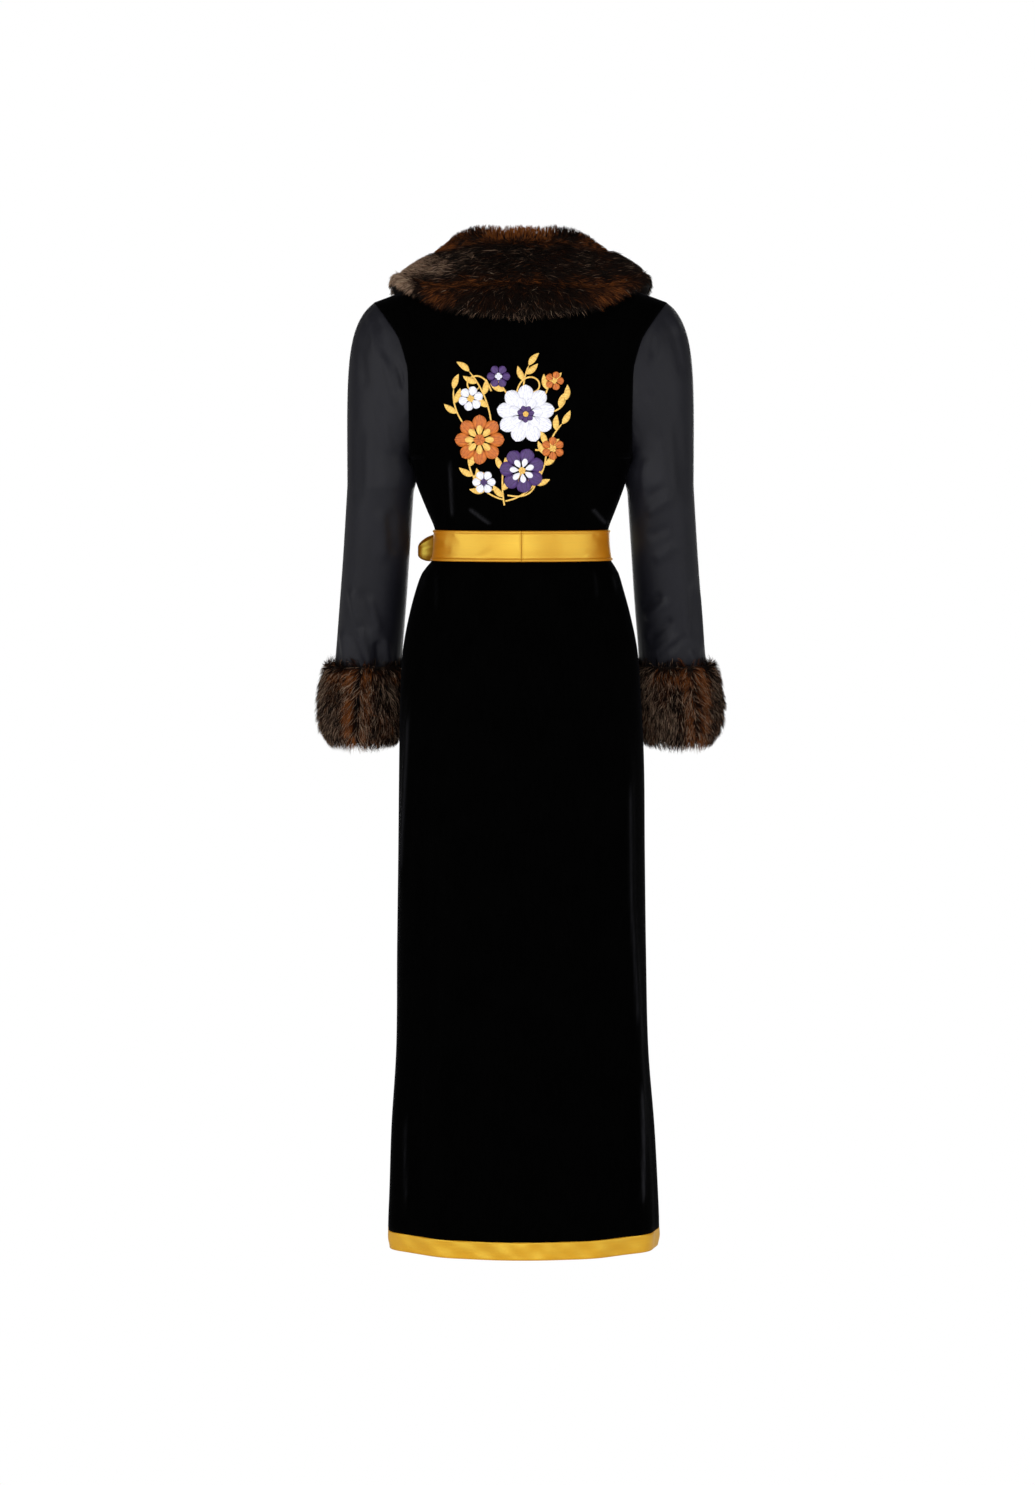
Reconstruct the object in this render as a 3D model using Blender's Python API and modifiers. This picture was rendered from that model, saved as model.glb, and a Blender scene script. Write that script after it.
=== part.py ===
"""A long wrap robe in its worn form with nobody inside.

Velvet back and fronts, satin sleeves, a fur shawl collar, fur cuffs, a satin hem band and a tied satin sash.
Metres. The origin is midway between the neck ends of the shoulder seams, +Z is up, +Y is the way the wearer
faces and +X is the wearer's right.
"""

import math
from collections import namedtuple

import bmesh
import bpy
from mathutils import Vector

# Cloth walls and the gaps between pieces
VELVET_WALL = 0.0016
SATIN_WALL = 0.0010
BAND_WALL = 0.0020
SEAM_GAP = 0.0006
LAY_GAP = 0.0008

# Columns of a panel's mesh, in degrees round the body, and rows over the shoulder
COLUMN_ANGLE = 10
YOKE_ROWS = 9

# Sections of the body from hem to underarm: the side seams lie at half_width each side of a middle that is
# shifted a little off the centre, and the middles of back and fronts at the depths
Level = namedtuple("Level", "height half_width shift back_depth front_depth")
LEVELS = (
    Level(-1.368, 0.1900, 0.0045, 0.124, 0.128),
    Level(-1.343, 0.1915, 0.0045, 0.124, 0.128),
    Level(-1.290, 0.1895, 0.0045, 0.123, 0.127),
    Level(-1.201, 0.1855, 0.0035, 0.122, 0.124),
    Level(-1.089, 0.1775, 0.0025, 0.120, 0.120),
    Level(-0.950, 0.1750, 0.0015, 0.120, 0.115),
    Level(-0.810, 0.1730, 0.0015, 0.121, 0.112),
    Level(-0.683, 0.1715, 0.0015, 0.122, 0.110),
    Level(-0.585, 0.1680, 0.0000, 0.120, 0.108),
    Level(-0.529, 0.1640, -0.0005, 0.115, 0.107),
    Level(-0.480, 0.1545, -0.0010, 0.106, 0.105),
    Level(-0.438, 0.1430, -0.0010, 0.097, 0.102),
    Level(-0.418, 0.1355, 0.0000, 0.092, 0.100),
    Level(-0.4035, 0.1245, 0.0015, 0.086, 0.097),
    Level(-0.382, 0.1205, 0.0015, 0.083, 0.095),
    Level(-0.361, 0.1210, 0.0015, 0.084, 0.096),
    Level(-0.335, 0.1310, 0.0010, 0.090, 0.104),
    Level(-0.300, 0.1445, 0.0005, 0.096, 0.115),
    Level(-0.263, 0.1550, 0.0000, 0.100, 0.122),
)
HEM = LEVELS[0].height
HEM_SEAM = LEVELS[1].height
SASH_BOTTOM = -0.4035
SASH_TOP = -0.361
WAIST_RADIUS = 0.10
UNDERARM = LEVELS[-1].height

# The largest flutes of the skirt, by the angle round the body from the centre back towards the wearer's right
Flute = namedtuple("Flute", "angle half_angle depth top")
FLUTES = (
    Flute(-70, 16, 0.006, -0.52),
    Flute(62, 15, 0.006, -0.60),
    Flute(-36, 14, 0.003, -0.90),
    Flute(30, 16, 0.003, -0.95),
    Flute(118, 18, 0.006, -0.55),
    Flute(-112, 16, 0.006, -0.60),
    Flute(160, 16, 0.004, -0.80),
)

# Neck and shoulder
NECK_HALF_WIDTH = 0.075
NECK_BACK_DEPTH = 0.062
NECK_BACK_DROP = 0.012
SHOULDER_TIP_X = 0.203
SHOULDER_TIP_DROP = 0.046
SHOULDER_TURN = 0.55
SHOULDER_ROUNDNESS = 2.6

# The armhole: its half depth, and its distance from the middle from the underarm up to the shoulder tip
ARMHOLE_HALF_DEPTH = 0.072
ArmholeEdge = namedtuple("ArmholeEdge", "height half_width")
ARMHOLE_EDGE = (
    ArmholeEdge(-0.263, 0.155),
    ArmholeEdge(-0.190, 0.154),
    ArmholeEdge(-0.113, 0.158),
    ArmholeEdge(-0.092, 0.169),
    ArmholeEdge(-0.064, 0.189),
    ArmholeEdge(-0.046, 0.203),
)

# Depth of the body's middle between the underarm (share 0) and the neck (share 1)
YokeDepth = namedtuple("YokeDepth", "share back_depth front_depth")
YOKE_DEPTH = (
    YokeDepth(0.00, 0.100, 0.122),
    YokeDepth(0.35, 0.106, 0.121),
    YokeDepth(0.65, 0.102, 0.112),
    YokeDepth(0.85, 0.087, 0.088),
    YokeDepth(1.00, 0.062, 0.050),
)

# Edges of the fronts, in degrees from the centre front towards their own side: below 0 is past the middle
WRAP_ANGLE = -30
FrontEdge = namedtuple("FrontEdge", "height angle")
FRONT_EDGE = (
    FrontEdge(SASH_TOP, WRAP_ANGLE),
    FrontEdge(-0.335, -22),
    FrontEdge(-0.300, -10),
    FrontEdge(UNDERARM, 3),
)
YOKE_EDGE_ANGLE = math.degrees(math.asin(NECK_HALF_WIDTH / SHOULDER_TIP_X))

# Where the left front sinks under the right: angles from the centre back, and the yoke's share it ends at
UNDERLAP_START = 125
UNDERLAP_FULL = 147
UNDERLAP_END = 0.33

# Sleeve rings from the wrist up to below the armhole, and the cap that joins the highest to the armhole
SleeveRing = namedtuple("SleeveRing", "height centre_x centre_y half_width half_depth")
SLEEVE_RINGS = (
    SleeveRing(-0.675, 0.2257, 0.0923, 0.0470, 0.050),
    SleeveRing(-0.600, 0.2192, 0.0750, 0.0470, 0.052),
    SleeveRing(-0.522, 0.2125, 0.0570, 0.0470, 0.054),
    SleeveRing(-0.459, 0.2070, 0.0425, 0.0470, 0.056),
    SleeveRing(-0.396, 0.2020, 0.0280, 0.0466, 0.058),
    SleeveRing(-0.300, 0.1950, 0.0060, 0.0466, 0.060),
)
SLEEVE_TOP = SLEEVE_RINGS[-1].height
SLEEVE_END = -0.657
CAP_ROWS = 6
CAP_REACH = 0.62
CAP_BULGE = 0.34
CAP_OUTWARD = Vector((0.8, 0, -0.6))
ARM_ROWS = 7

# A fur cuff's outline: its stand-off from the sleeve and its height above the cuff's lower edge
CUFF_BOTTOM = -0.672
CuffProfile = namedtuple("CuffProfile", "stand_off rise")
CUFF_PROFILE = (
    CuffProfile(0.0008, 0.010),
    CuffProfile(0.0008, 0.066),
    CuffProfile(0.0008, 0.122),
    CuffProfile(0.0070, 0.129),
    CuffProfile(0.0155, 0.125),
    CuffProfile(0.0195, 0.100),
    CuffProfile(0.0215, 0.055),
    CuffProfile(0.0200, 0.020),
    CuffProfile(0.0130, 0.004),
    CuffProfile(0.0050, 0.000),
)
CUFF_COLUMNS = 10
CUFF_SEAM_TURNS = {"right": 0.178, "left": 0.225}
CUFF_GIRTH = 0.30

# The collar's fold and outer edge, as offsets from its seam, at shares of it from centre back to front end,
# and how full its fur is there
CollarStation = namedtuple("CollarStation", "share fold_x fold_y fold_z edge_x edge_y edge_z fullness")
COLLAR_STATIONS = (
    CollarStation(0.00, 0.000, -0.010, 0.047, 0.000, -0.048, -0.056, 1.00),
    CollarStation(0.13, 0.006, -0.008, 0.043, 0.045, -0.058, -0.052, 0.88),
    CollarStation(0.26, 0.010, -0.003, 0.030, 0.101, -0.020, -0.024, 0.55),
    CollarStation(0.42, 0.012, 0.008, 0.026, 0.104, 0.020, -0.032, 0.60),
    CollarStation(0.65, 0.010, 0.028, 0.014, 0.100, 0.010, -0.020, 0.80),
    CollarStation(0.85, 0.008, 0.026, 0.006, 0.070, 0.014, -0.012, 0.75),
    CollarStation(1.00, 0.006, 0.020, 0.002, 0.032, 0.014, -0.006, 0.30),
)
COLLAR_NECK_SHARE = 0.26
COLLAR_END_SHARE = 0.04
COLLAR_SEAM_LIFT = 0.0012
COLLAR_LIFT_TURN = 0.3
COLLAR_FOLD_AT = 0.33
COLLAR_FOLD_WIDTH = 0.030
COLLAR_FOLD_ARRIVE = 0.6
COLLAR_FOLD_LEAVE = 1.2
COLLAR_EDGE_ARRIVE = 1.1
COLLAR_COLUMNS = 28
FUR_REACH = 0.020
STRIP_GAP = 0.0016

# The edges of the collar's fur strips as shares of its width, from the neck to its outer edge
StripEdges = namedtuple("StripEdges", "share neck upper_seam lower_seam outside")
STRIP_EDGES = (
    StripEdges(0.00, 0.0, 0.45, 0.775, 1.0),
    StripEdges(0.08, 0.0, 0.46, 0.800, 1.0),
    StripEdges(0.16, 0.0, 0.54, 0.870, 1.0),
    StripEdges(0.26, 0.0, 0.66, 0.920, 1.0),
    StripEdges(0.42, 0.0, 0.66, 0.910, 1.0),
    StripEdges(1.00, 0.0, 0.62, 0.850, 1.0),
)
CollarStrip = namedtuple("CollarStrip", "name start end rows start_fullness end_fullness")
COLLAR_STRIPS = (
    CollarStrip("collar_upper", "neck", "upper_seam", 5, 0.20, 0.85),
    CollarStrip("collar_middle", "upper_seam", "lower_seam", 3, 0.85, 0.85),
    CollarStrip("collar_lower", "lower_seam", "outside", 2, 0.85, 0.60),
)

# The sash's bow, tied on the wearer's left of the front
KNOT_ANGLE = -150
KNOT_HALF_LENGTH = 0.016
KNOT_HALF_THICKNESS = 0.010
KNOT_HALF_HEIGHT = 0.019
KNOT_SEGMENTS = 14
KNOT_RINGS = 8
LOOP_LENGTH = 0.071
LOOP_HALF_THICKNESS = 0.012
LOOP_OPEN_ANGLE = 6
LoopWidth = namedtuple("LoopWidth", "share half_width")
LOOP_WIDTHS = (
    LoopWidth(0.0, 0.0110),
    LoopWidth(0.5, 0.0190),
    LoopWidth(1.0, 0.0120),
)
LOOP_DROOP = 0.010
LOOP_COLUMNS = 16
SASH_END_HALF_WIDTH = 0.020
SASH_END_ROWS = 9
SASH_END_GATHER = 0.55
SASH_END_SETTLE = 0.06
SASH_END_SWING_SHARE = 0.62
SashEnd = namedtuple("SashEnd", "name angle swing length lift")
SASH_ENDS = (
    SashEnd("sash_end_outer", -148, 8, 0.400, 0.0035),
    SashEnd("sash_end_inner", -151, -11, 0.360, 0.0070),
)

# Each cloth's colour, as linear red, green and blue, and its roughness
Cloth = namedtuple("Cloth", "colour roughness")
VELVET = Cloth((0.004, 0.004, 0.005), 0.80)
SATIN = Cloth((0.018, 0.018, 0.021), 0.45)
GOLD = Cloth((0.72, 0.36, 0.04), 0.35)
FUR = Cloth((0.060, 0.032, 0.018), 0.90)

# Mesh points closer than this are one point, and edges that turn more than the angle are drawn sharp
MERGE_DISTANCE = 1e-6
SHARP_ANGLE = 40


def between(start, end, share):
    return start + (end - start) * share


def ease(share):
    share = min(max(share, 0.0), 1.0)
    return share * share * (3 - 2 * share)


def read_table(rows, column, at):
    """The value of a column at a place along a table's first column, on a smooth curve through its rows."""
    places = [row[0] for row in rows]
    values = [getattr(row, column) for row in rows]
    last = len(rows) - 2
    i = max(n for n in range(last + 1) if n == 0 or places[n] <= at)

    def slope(n):
        before, after = max(n - 1, 0), min(n + 1, len(rows) - 1)
        return (values[after] - values[before]) / (places[after] - places[before])

    span = places[i + 1] - places[i]
    u = min(max((at - places[i]) / span, 0.0), 1.0)
    rise = values[i + 1] - values[i]
    start, end = slope(i) * span, slope(i + 1) * span
    return values[i] + u * (start + u * (3 * rise - 2 * start - end + u * (start + end - 2 * rise)))


def flute_relief(angle, height):
    """How far the skirt's flutes push the cloth out at an angle round the body, growing towards the hem."""
    relief = 0.0
    for flute in FLUTES:
        apart = abs((angle - flute.angle + 180) % 360 - 180) / flute.half_angle
        if apart < 1 and height < flute.top:
            growth = ease((flute.top - height) / (flute.top - HEM))
            relief += flute.depth * growth * (0.5 + 0.5 * math.cos(math.pi * apart))
    return relief


def torso_point(angle, height):
    """The cloth's outside below the underarm, by the angle from the centre back to the wearer's right."""
    turn = math.radians(angle)
    depth = "back_depth" if math.cos(turn) > 0 else "front_depth"
    relief = flute_relief(angle, height)
    x = (read_table(LEVELS, "half_width", height) + relief) * math.sin(turn)
    x += read_table(LEVELS, "shift", height)
    y = -(read_table(LEVELS, depth, height) + relief) * math.cos(turn)
    return Vector((x, y, height))


def shoulder_edge(turn, facing):
    """The top edge of a panel: its neckline, then its shoulder seam."""
    x = SHOULDER_TIP_X * math.sin(turn)
    if abs(x) < NECK_HALF_WIDTH:
        part = x / NECK_HALF_WIDTH
        y = facing * NECK_BACK_DEPTH * math.sqrt(1 - part * part)
        return Vector((x, y, NECK_BACK_DROP * (part * part - 1)))
    along = (abs(x) - NECK_HALF_WIDTH) / (SHOULDER_TIP_X - NECK_HALF_WIDTH)
    return Vector((x, facing * LAY_GAP, -SHOULDER_TIP_DROP * along))


def yoke_point(turn, share, facing):
    """The cloth above the underarm: turn runs from a panel's middle to its armhole, share up to its seam."""
    middle_height = between(UNDERARM, -NECK_BACK_DROP, share)
    arm_middle = (UNDERARM - SHOULDER_TIP_DROP) / 2
    arm_reach = (-SHOULDER_TIP_DROP - UNDERARM) / 2
    side_height = arm_middle - arm_reach * math.cos(math.pi * share)
    side_x = read_table(ARMHOLE_EDGE, "half_width", side_height)
    side_y = facing * ARMHOLE_HALF_DEPTH * math.sin(math.pi * share)
    column = "back_depth" if facing < 0 else "front_depth"
    middle_y = facing * read_table(YOKE_DEPTH, column, share)
    x = side_x * math.sin(turn)
    y = between(side_y, middle_y, math.cos(turn))
    z = between(middle_height, side_height, math.sin(turn) ** 2)
    climb = max(0.0, (share - SHOULDER_TURN) / (1 - SHOULDER_TURN))
    rounding = 1 - (1 - climb**SHOULDER_ROUNDNESS) ** (1 / SHOULDER_ROUNDNESS)
    top = shoulder_edge(turn, facing)
    return Vector((between(x, top.x, climb), between(y, top.y, rounding), between(z, top.z, climb)))


def panel_levels(lowest):
    """A panel's rows from a height up: ("torso", height) to the underarm, then ("yoke", share) above it."""
    torso = [("torso", level.height) for level in LEVELS if level.height >= lowest]
    return torso + [("yoke", (n + 1) / YOKE_ROWS) for n in range(YOKE_ROWS)]


def front_edge_angle(kind, place):
    """Degrees from the centre front to a front's free edge, on the panel's own side of it."""
    if kind == "yoke":
        return between(FRONT_EDGE[-1].angle, YOKE_EDGE_ANGLE, place)
    if place <= SASH_TOP:
        return WRAP_ANGLE
    return read_table(FRONT_EDGE, "angle", place)


def front_point(kind, place, angle, side):
    """A front's outside, by degrees from the centre front to its own side. The left lies under the right."""
    if kind == "yoke":
        point = yoke_point(math.radians(angle) * side, place, 1)
    else:
        point = torso_point((180 - angle) * side, place)
    if side < 0:
        covered = ease((180 - angle - UNDERLAP_START) / (UNDERLAP_FULL - UNDERLAP_START))
        if kind == "yoke":
            covered *= 1 - ease(place / UNDERLAP_END)
        inward = Vector((point.x, point.y, 0)).normalized()
        point -= inward * covered * (VELVET_WALL + LAY_GAP)
    return point


def seam_shift(point, direction, share):
    """Moves a panel's edge half a seam gap back, at either end of its columns."""
    if share in (0.0, 1.0):
        return point - direction * (SEAM_GAP / 2)
    return point


def new_object(name, mesh_data, cloth, collection):
    mesh = bpy.data.meshes.new(name)
    mesh_data.to_mesh(mesh)
    mesh_data.free()
    material = bpy.data.materials.new(name)
    material.use_nodes = True
    shader = material.node_tree.nodes["Principled BSDF"]
    shader.inputs["Base Color"].default_value = (*cloth.colour, 1)
    shader.inputs["Roughness"].default_value = cloth.roughness
    shader.inputs["Metallic"].default_value = 0
    mesh.materials.append(material)
    mesh.shade_smooth()
    mesh.set_sharp_from_angle(angle=math.radians(SHARP_ANGLE))
    part = bpy.data.objects.new(name, mesh)
    collection.objects.link(part)
    return part


def shaped_grid(columns, rows, place):
    """A grid of faces with each point moved to place(across, along), both from 0 to 1."""
    grid = bmesh.new()
    bmesh.ops.create_grid(grid, x_segments=columns, y_segments=rows, size=0.5)
    for vertex in grid.verts:
        across = round((vertex.co.x + 0.5) * columns) / columns
        along = round((vertex.co.y + 0.5) * rows) / rows
        vertex.co = place(across, along)
    grid.normal_update()
    return grid


def add_wall(part, wall, side):
    """Gives an open surface its thickness: side 1 adds it outside the surface, -1 inside."""
    solidify = part.modifiers.new("wall", "SOLIDIFY")
    solidify.thickness = wall
    solidify.offset = side
    return solidify


def add_panel(name, levels, columns, place, wall, cloth, collection):
    """A cloth panel through its rows, with its wall inside the form."""
    rows = len(levels) - 1

    def at(across, along):
        kind, height = levels[round(along * rows)]
        return place(kind, height, across)

    part = new_object(name, shaped_grid(columns, rows, at), cloth, collection)
    add_wall(part, wall, -1)
    return part


def back_place(kind, height, across):
    """The back's outside, across from the wearer's left side to the right."""
    angle = between(-90, 90, across)
    if kind == "yoke":
        point = yoke_point(math.radians(angle), height, -1)
        outward = Vector((math.copysign(1, angle), 0, 0))
    else:
        point = torso_point(angle, height)
        outward = Vector((0, 1, 0))
    return seam_shift(point, outward, across)


def front_place(side):
    """The outside of one front, across so that the cloth's outside faces forward."""

    def place(kind, height, across):
        from_side = across if side > 0 else 1 - across
        angle = between(90, front_edge_angle(kind, height), from_side)
        point = front_point(kind, height, angle, side)
        if from_side == 0:
            outward = Vector((side, 0, 0)) if kind == "yoke" else Vector((0, -1, 0))
            point -= outward * (SEAM_GAP / 2)
        return point

    return place


def add_body(collection):
    velvet = (VELVET_WALL, VELVET, collection)
    gold = (BAND_WALL, GOLD, collection)
    back_columns = 180 // COLUMN_ANGLE
    front_columns = (90 - WRAP_ANGLE) // COLUMN_ANGLE
    levels = panel_levels(HEM_SEAM)
    band = [("torso", HEM), ("torso", between(HEM, HEM_SEAM, 0.5)), ("torso", HEM_SEAM - SEAM_GAP)]
    add_panel("back_panel", levels, back_columns, back_place, *velvet)
    add_panel("hem_back", band, back_columns, back_place, *gold)
    for side, word in ((1, "right"), (-1, "left")):
        add_panel(f"front_{word}", levels, front_columns, front_place(side), *velvet)
        add_panel(f"hem_{word}", band, front_columns, front_place(side), *gold)


def armhole_point(turn):
    """The right armhole's edge, turn 0 at the shoulder tip, 0.5 at the underarm, the back first."""
    facing = -1 if turn <= 0.5 else 1
    share = abs(1 - 2 * turn)
    return yoke_point(math.pi / 2, share, facing)


def sleeve_ring_point(turn, height, stand_off=0.0):
    """The right sleeve's outside, turn 0 at the outer side, 0.25 at the back."""
    angle = 2 * math.pi * turn
    half_width = read_table(SLEEVE_RINGS, "half_width", height) + stand_off
    half_depth = read_table(SLEEVE_RINGS, "half_depth", height) + stand_off
    x = read_table(SLEEVE_RINGS, "centre_x", height) + half_width * math.cos(angle)
    y = read_table(SLEEVE_RINGS, "centre_y", height) - half_depth * math.sin(angle)
    return Vector((x, y, height))


def sleeve_cap_point(turn, share):
    """From the armhole seam (share 0), out over the shoulder and down to the first ring (share 1)."""
    start = armhole_point(turn)
    end = sleeve_ring_point(turn, SLEEVE_TOP)
    reach = (end - start).length * CAP_REACH
    start = start + CAP_OUTWARD * SEAM_GAP
    first = start + CAP_OUTWARD * reach * CAP_BULGE
    second = end + Vector((0, 0, reach))
    rest = 1 - share
    return start * rest**3 + first * (3 * rest**2 * share) + second * (3 * rest * share**2) + end * share**3


def mirrored(point, side):
    return Vector((point.x * side, point.y, point.z))


def add_sleeve(side, word, collection):
    rows = CAP_ROWS + ARM_ROWS

    def place(across, along):
        turn = across if side > 0 else 1 - across
        row = round(along * rows)
        if row <= CAP_ROWS:
            point = sleeve_cap_point(turn % 1, row / CAP_ROWS)
        else:
            point = sleeve_ring_point(turn, between(SLEEVE_TOP, SLEEVE_END, (row - CAP_ROWS) / ARM_ROWS))
        return mirrored(point, side)

    grid = shaped_grid(2 * YOKE_ROWS, rows, place)
    bmesh.ops.remove_doubles(grid, verts=grid.verts, dist=MERGE_DISTANCE)
    part = new_object(f"sleeve_{word}", grid, SATIN, collection)
    add_wall(part, SATIN_WALL, -1)


def add_cuff(side, word, face, collection):
    """Half a fur cuff as a plain solid of the fur's reach: the back half or the front half."""
    start = CUFF_SEAM_TURNS[word] + (0 if face == "back" else 0.5)
    seam = SEAM_GAP / CUFF_GIRTH
    outline = len(CUFF_PROFILE)

    def place(across, along):
        turn = start + between(seam / 2, 0.5 - seam / 2, across if side > 0 else 1 - across)
        profile = CUFF_PROFILE[round(along * outline) % outline]
        point = sleeve_ring_point(turn, CUFF_BOTTOM + profile.rise, profile.stand_off)
        return mirrored(point, side)

    grid = shaped_grid(CUFF_COLUMNS, outline, place)
    bmesh.ops.remove_doubles(grid, verts=grid.verts, dist=MERGE_DISTANCE)
    bmesh.ops.holes_fill(grid, edges=[edge for edge in grid.edges if edge.is_boundary])
    bmesh.ops.recalc_face_normals(grid, faces=grid.faces)
    new_object(f"cuff_{word}_{face}", grid, FUR, collection)


def collar_seam_point(share):
    """The right half of the line that the collar is sewn to, from the centre back to its front end."""
    if share <= COLLAR_NECK_SHARE:
        angle = 0.5 * math.pi * share / COLLAR_NECK_SHARE
        part = math.sin(angle)
        back = -NECK_BACK_DEPTH * math.cos(angle)
        point = Vector((NECK_HALF_WIDTH * part, back, NECK_BACK_DROP * (part * part - 1)))
    else:
        along = (share - COLLAR_NECK_SHARE) / (1 - COLLAR_NECK_SHARE)
        level = between(1, COLLAR_END_SHARE, along)
        point = front_point("yoke", level, front_edge_angle("yoke", level), 1)
    lift = Vector((0, 0, 1)).lerp(Vector((0, 1, 0)), ease((share - COLLAR_NECK_SHARE) / COLLAR_LIFT_TURN))
    return point + lift * COLLAR_SEAM_LIFT


def collar_rise_and_fall(share):
    """From the collar's seam to its fold, and from its fold to its outer edge."""

    def offset(part):
        return Vector([read_table(COLLAR_STATIONS, f"{part}_{axis}", share) for axis in "xyz"])

    return offset("fold"), offset("edge") - offset("fold")


def collar_length(share):
    rise, fall = collar_rise_and_fall(share)
    return rise.length + fall.length


def collar_point(share, across):
    """The collar's backing on the right half: across runs from the seam over the fold to the outer edge."""
    seam = collar_seam_point(share)
    rise, fall = collar_rise_and_fall(share)
    fold = seam + rise
    edge = fold + fall
    over = fall - rise * (fall.dot(rise) / rise.length_squared)
    over = over.normalized() * COLLAR_FOLD_WIDTH
    if across < COLLAR_FOLD_AT:
        u = across / COLLAR_FOLD_AT
        start, end, leave, arrive = seam, fold, rise, over * COLLAR_FOLD_ARRIVE
    else:
        u = (across - COLLAR_FOLD_AT) / (1 - COLLAR_FOLD_AT)
        start, end, leave, arrive = fold, edge, over * COLLAR_FOLD_LEAVE, fall * COLLAR_EDGE_ARRIVE
    step = end - start
    return start + u * (leave + u * (3 * step - 2 * leave - arrive + u * (leave + arrive - 2 * step)))


def add_collar_strip(strip, collection):
    """One fur strip, round the neck from front end to front end, as a plain solid of the fur's reach."""

    def spread(across):
        return abs(2 * across - 1), math.copysign(1, 0.5 - across)

    def place(across, along):
        share, side = spread(across)
        gap = STRIP_GAP / 2 / collar_length(share)
        start = read_table(STRIP_EDGES, strip.start, share) + gap * (strip.start != "neck")
        end = read_table(STRIP_EDGES, strip.end, share) - gap * (strip.end != "outside")
        return mirrored(collar_point(share, between(start, end, along)), side)

    grid = shaped_grid(COLLAR_COLUMNS, strip.rows, place)
    fullness = []
    for n in range(len(grid.verts)):
        share, _ = spread((n % (COLLAR_COLUMNS + 1)) / COLLAR_COLUMNS)
        along = n // (COLLAR_COLUMNS + 1) / strip.rows
        edges = between(strip.start_fullness, strip.end_fullness, along)
        full = edges + (1 - edges) * math.sin(math.pi * along)
        fullness.append(full * read_table(COLLAR_STATIONS, "fullness", share))
    part = new_object(strip.name, grid, FUR, collection)
    group = part.vertex_groups.new(name="fur")
    for n, weight in enumerate(fullness):
        group.add([n], weight, "REPLACE")
    wall = add_wall(part, FUR_REACH, 1)
    wall.vertex_group = group.name


def outward_at(angle, height):
    step = 1.0
    across = torso_point(angle + step, height) - torso_point(angle - step, height)
    return Vector((across.y, -across.x, 0)).normalized()


def sash_point(angle, height, lift):
    return torso_point(angle, height) + outward_at(angle, height) * lift


def add_sash(collection):
    gap = math.degrees(SEAM_GAP / WAIST_RADIUS)
    for word, start, end in (("left", KNOT_ANGLE + gap, -gap / 2), ("right", gap / 2, 360 + KNOT_ANGLE)):
        columns = round((end - start) / COLUMN_ANGLE)
        first = math.floor(start / COLUMN_ANGLE + 0.5) * COLUMN_ANGLE

        def place(across, along, start=start, end=end, columns=columns, first=first):
            angle = first + round(across * columns) * COLUMN_ANGLE
            angle = min(max(angle, start), end)
            return sash_point(angle, between(SASH_BOTTOM, SASH_TOP, along), LAY_GAP)

        part = new_object(f"sash_{word}", shaped_grid(columns, 2, place), GOLD, collection)
        add_wall(part, BAND_WALL, 1)


def knot_frame():
    """The middle of the sash's knot, and the directions out of the body and along the sash to the back."""
    height = between(SASH_BOTTOM, SASH_TOP, 0.5)
    outward = outward_at(KNOT_ANGLE, height)
    along = Vector((-outward.y, outward.x, 0))
    middle = sash_point(KNOT_ANGLE, height, 2 * LAY_GAP + BAND_WALL + KNOT_HALF_THICKNESS)
    return middle, outward, along


def add_bow(collection):
    middle, outward, along = knot_frame()
    knot = bmesh.new()
    bmesh.ops.create_uvsphere(knot, u_segments=KNOT_SEGMENTS, v_segments=KNOT_RINGS, radius=1)
    for vertex in knot.verts:
        size = vertex.co
        sideways = outward * size.x * KNOT_HALF_THICKNESS + along * size.y * KNOT_HALF_LENGTH
        vertex.co = middle + sideways + Vector((0, 0, size.z * KNOT_HALF_HEIGHT))
    new_object("sash_knot", knot, GOLD, collection)

    for name, way in (("bow_loop_outer", 1), ("bow_loop_inner", -1)):

        def place(across, width, way=way):
            turn = math.radians(between(LOOP_OPEN_ANGLE, 360 - LOOP_OPEN_ANGLE, across))
            swell = math.sin(turn / 2) ** 2
            reach = KNOT_HALF_LENGTH + SEAM_GAP / 2 + LOOP_LENGTH * swell
            stand = LOOP_HALF_THICKNESS * math.sin(turn)
            half = read_table(LOOP_WIDTHS, "half_width", swell)
            lift = between(-half, half, width) - LOOP_DROOP * swell
            return middle + along * way * reach + outward * stand + Vector((0, 0, lift))

        part = new_object(name, shaped_grid(LOOP_COLUMNS, 2, place), GOLD, collection)
        add_wall(part, SATIN_WALL, 0)

    top = middle.z - KNOT_HALF_HEIGHT - SEAM_GAP / 2
    knot_lift = BAND_WALL + KNOT_HALF_THICKNESS / 2
    for sash_end in SASH_ENDS:

        def place(across, down, sash_end=sash_end):
            height = top - sash_end.length * down
            settle = ease(down * sash_end.length / SASH_END_SETTLE)
            angle = sash_end.angle + sash_end.swing * ease(down / SASH_END_SWING_SHARE)
            radius = torso_point(angle, height).length_squared - height * height
            half = SASH_END_HALF_WIDTH * between(SASH_END_GATHER, 1, settle)
            angle += math.degrees(between(half, -half, across) / math.sqrt(radius))
            return sash_point(angle, height, sash_end.lift + knot_lift * (1 - settle))

        part = new_object(sash_end.name, shaped_grid(2, SASH_END_ROWS, place), GOLD, collection)
        add_wall(part, SATIN_WALL, 0)


def main():
    for old in list(bpy.data.objects):
        bpy.data.objects.remove(old)
    robe = bpy.data.collections.new("royal_robe")
    bpy.context.scene.collection.children.link(robe)
    add_body(robe)
    for side, word in ((1, "right"), (-1, "left")):
        add_sleeve(side, word, robe)
        for face in ("back", "front"):
            add_cuff(side, word, face, robe)
    for strip in COLLAR_STRIPS:
        add_collar_strip(strip, robe)
    add_sash(robe)
    add_bow(robe)


main()
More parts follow.
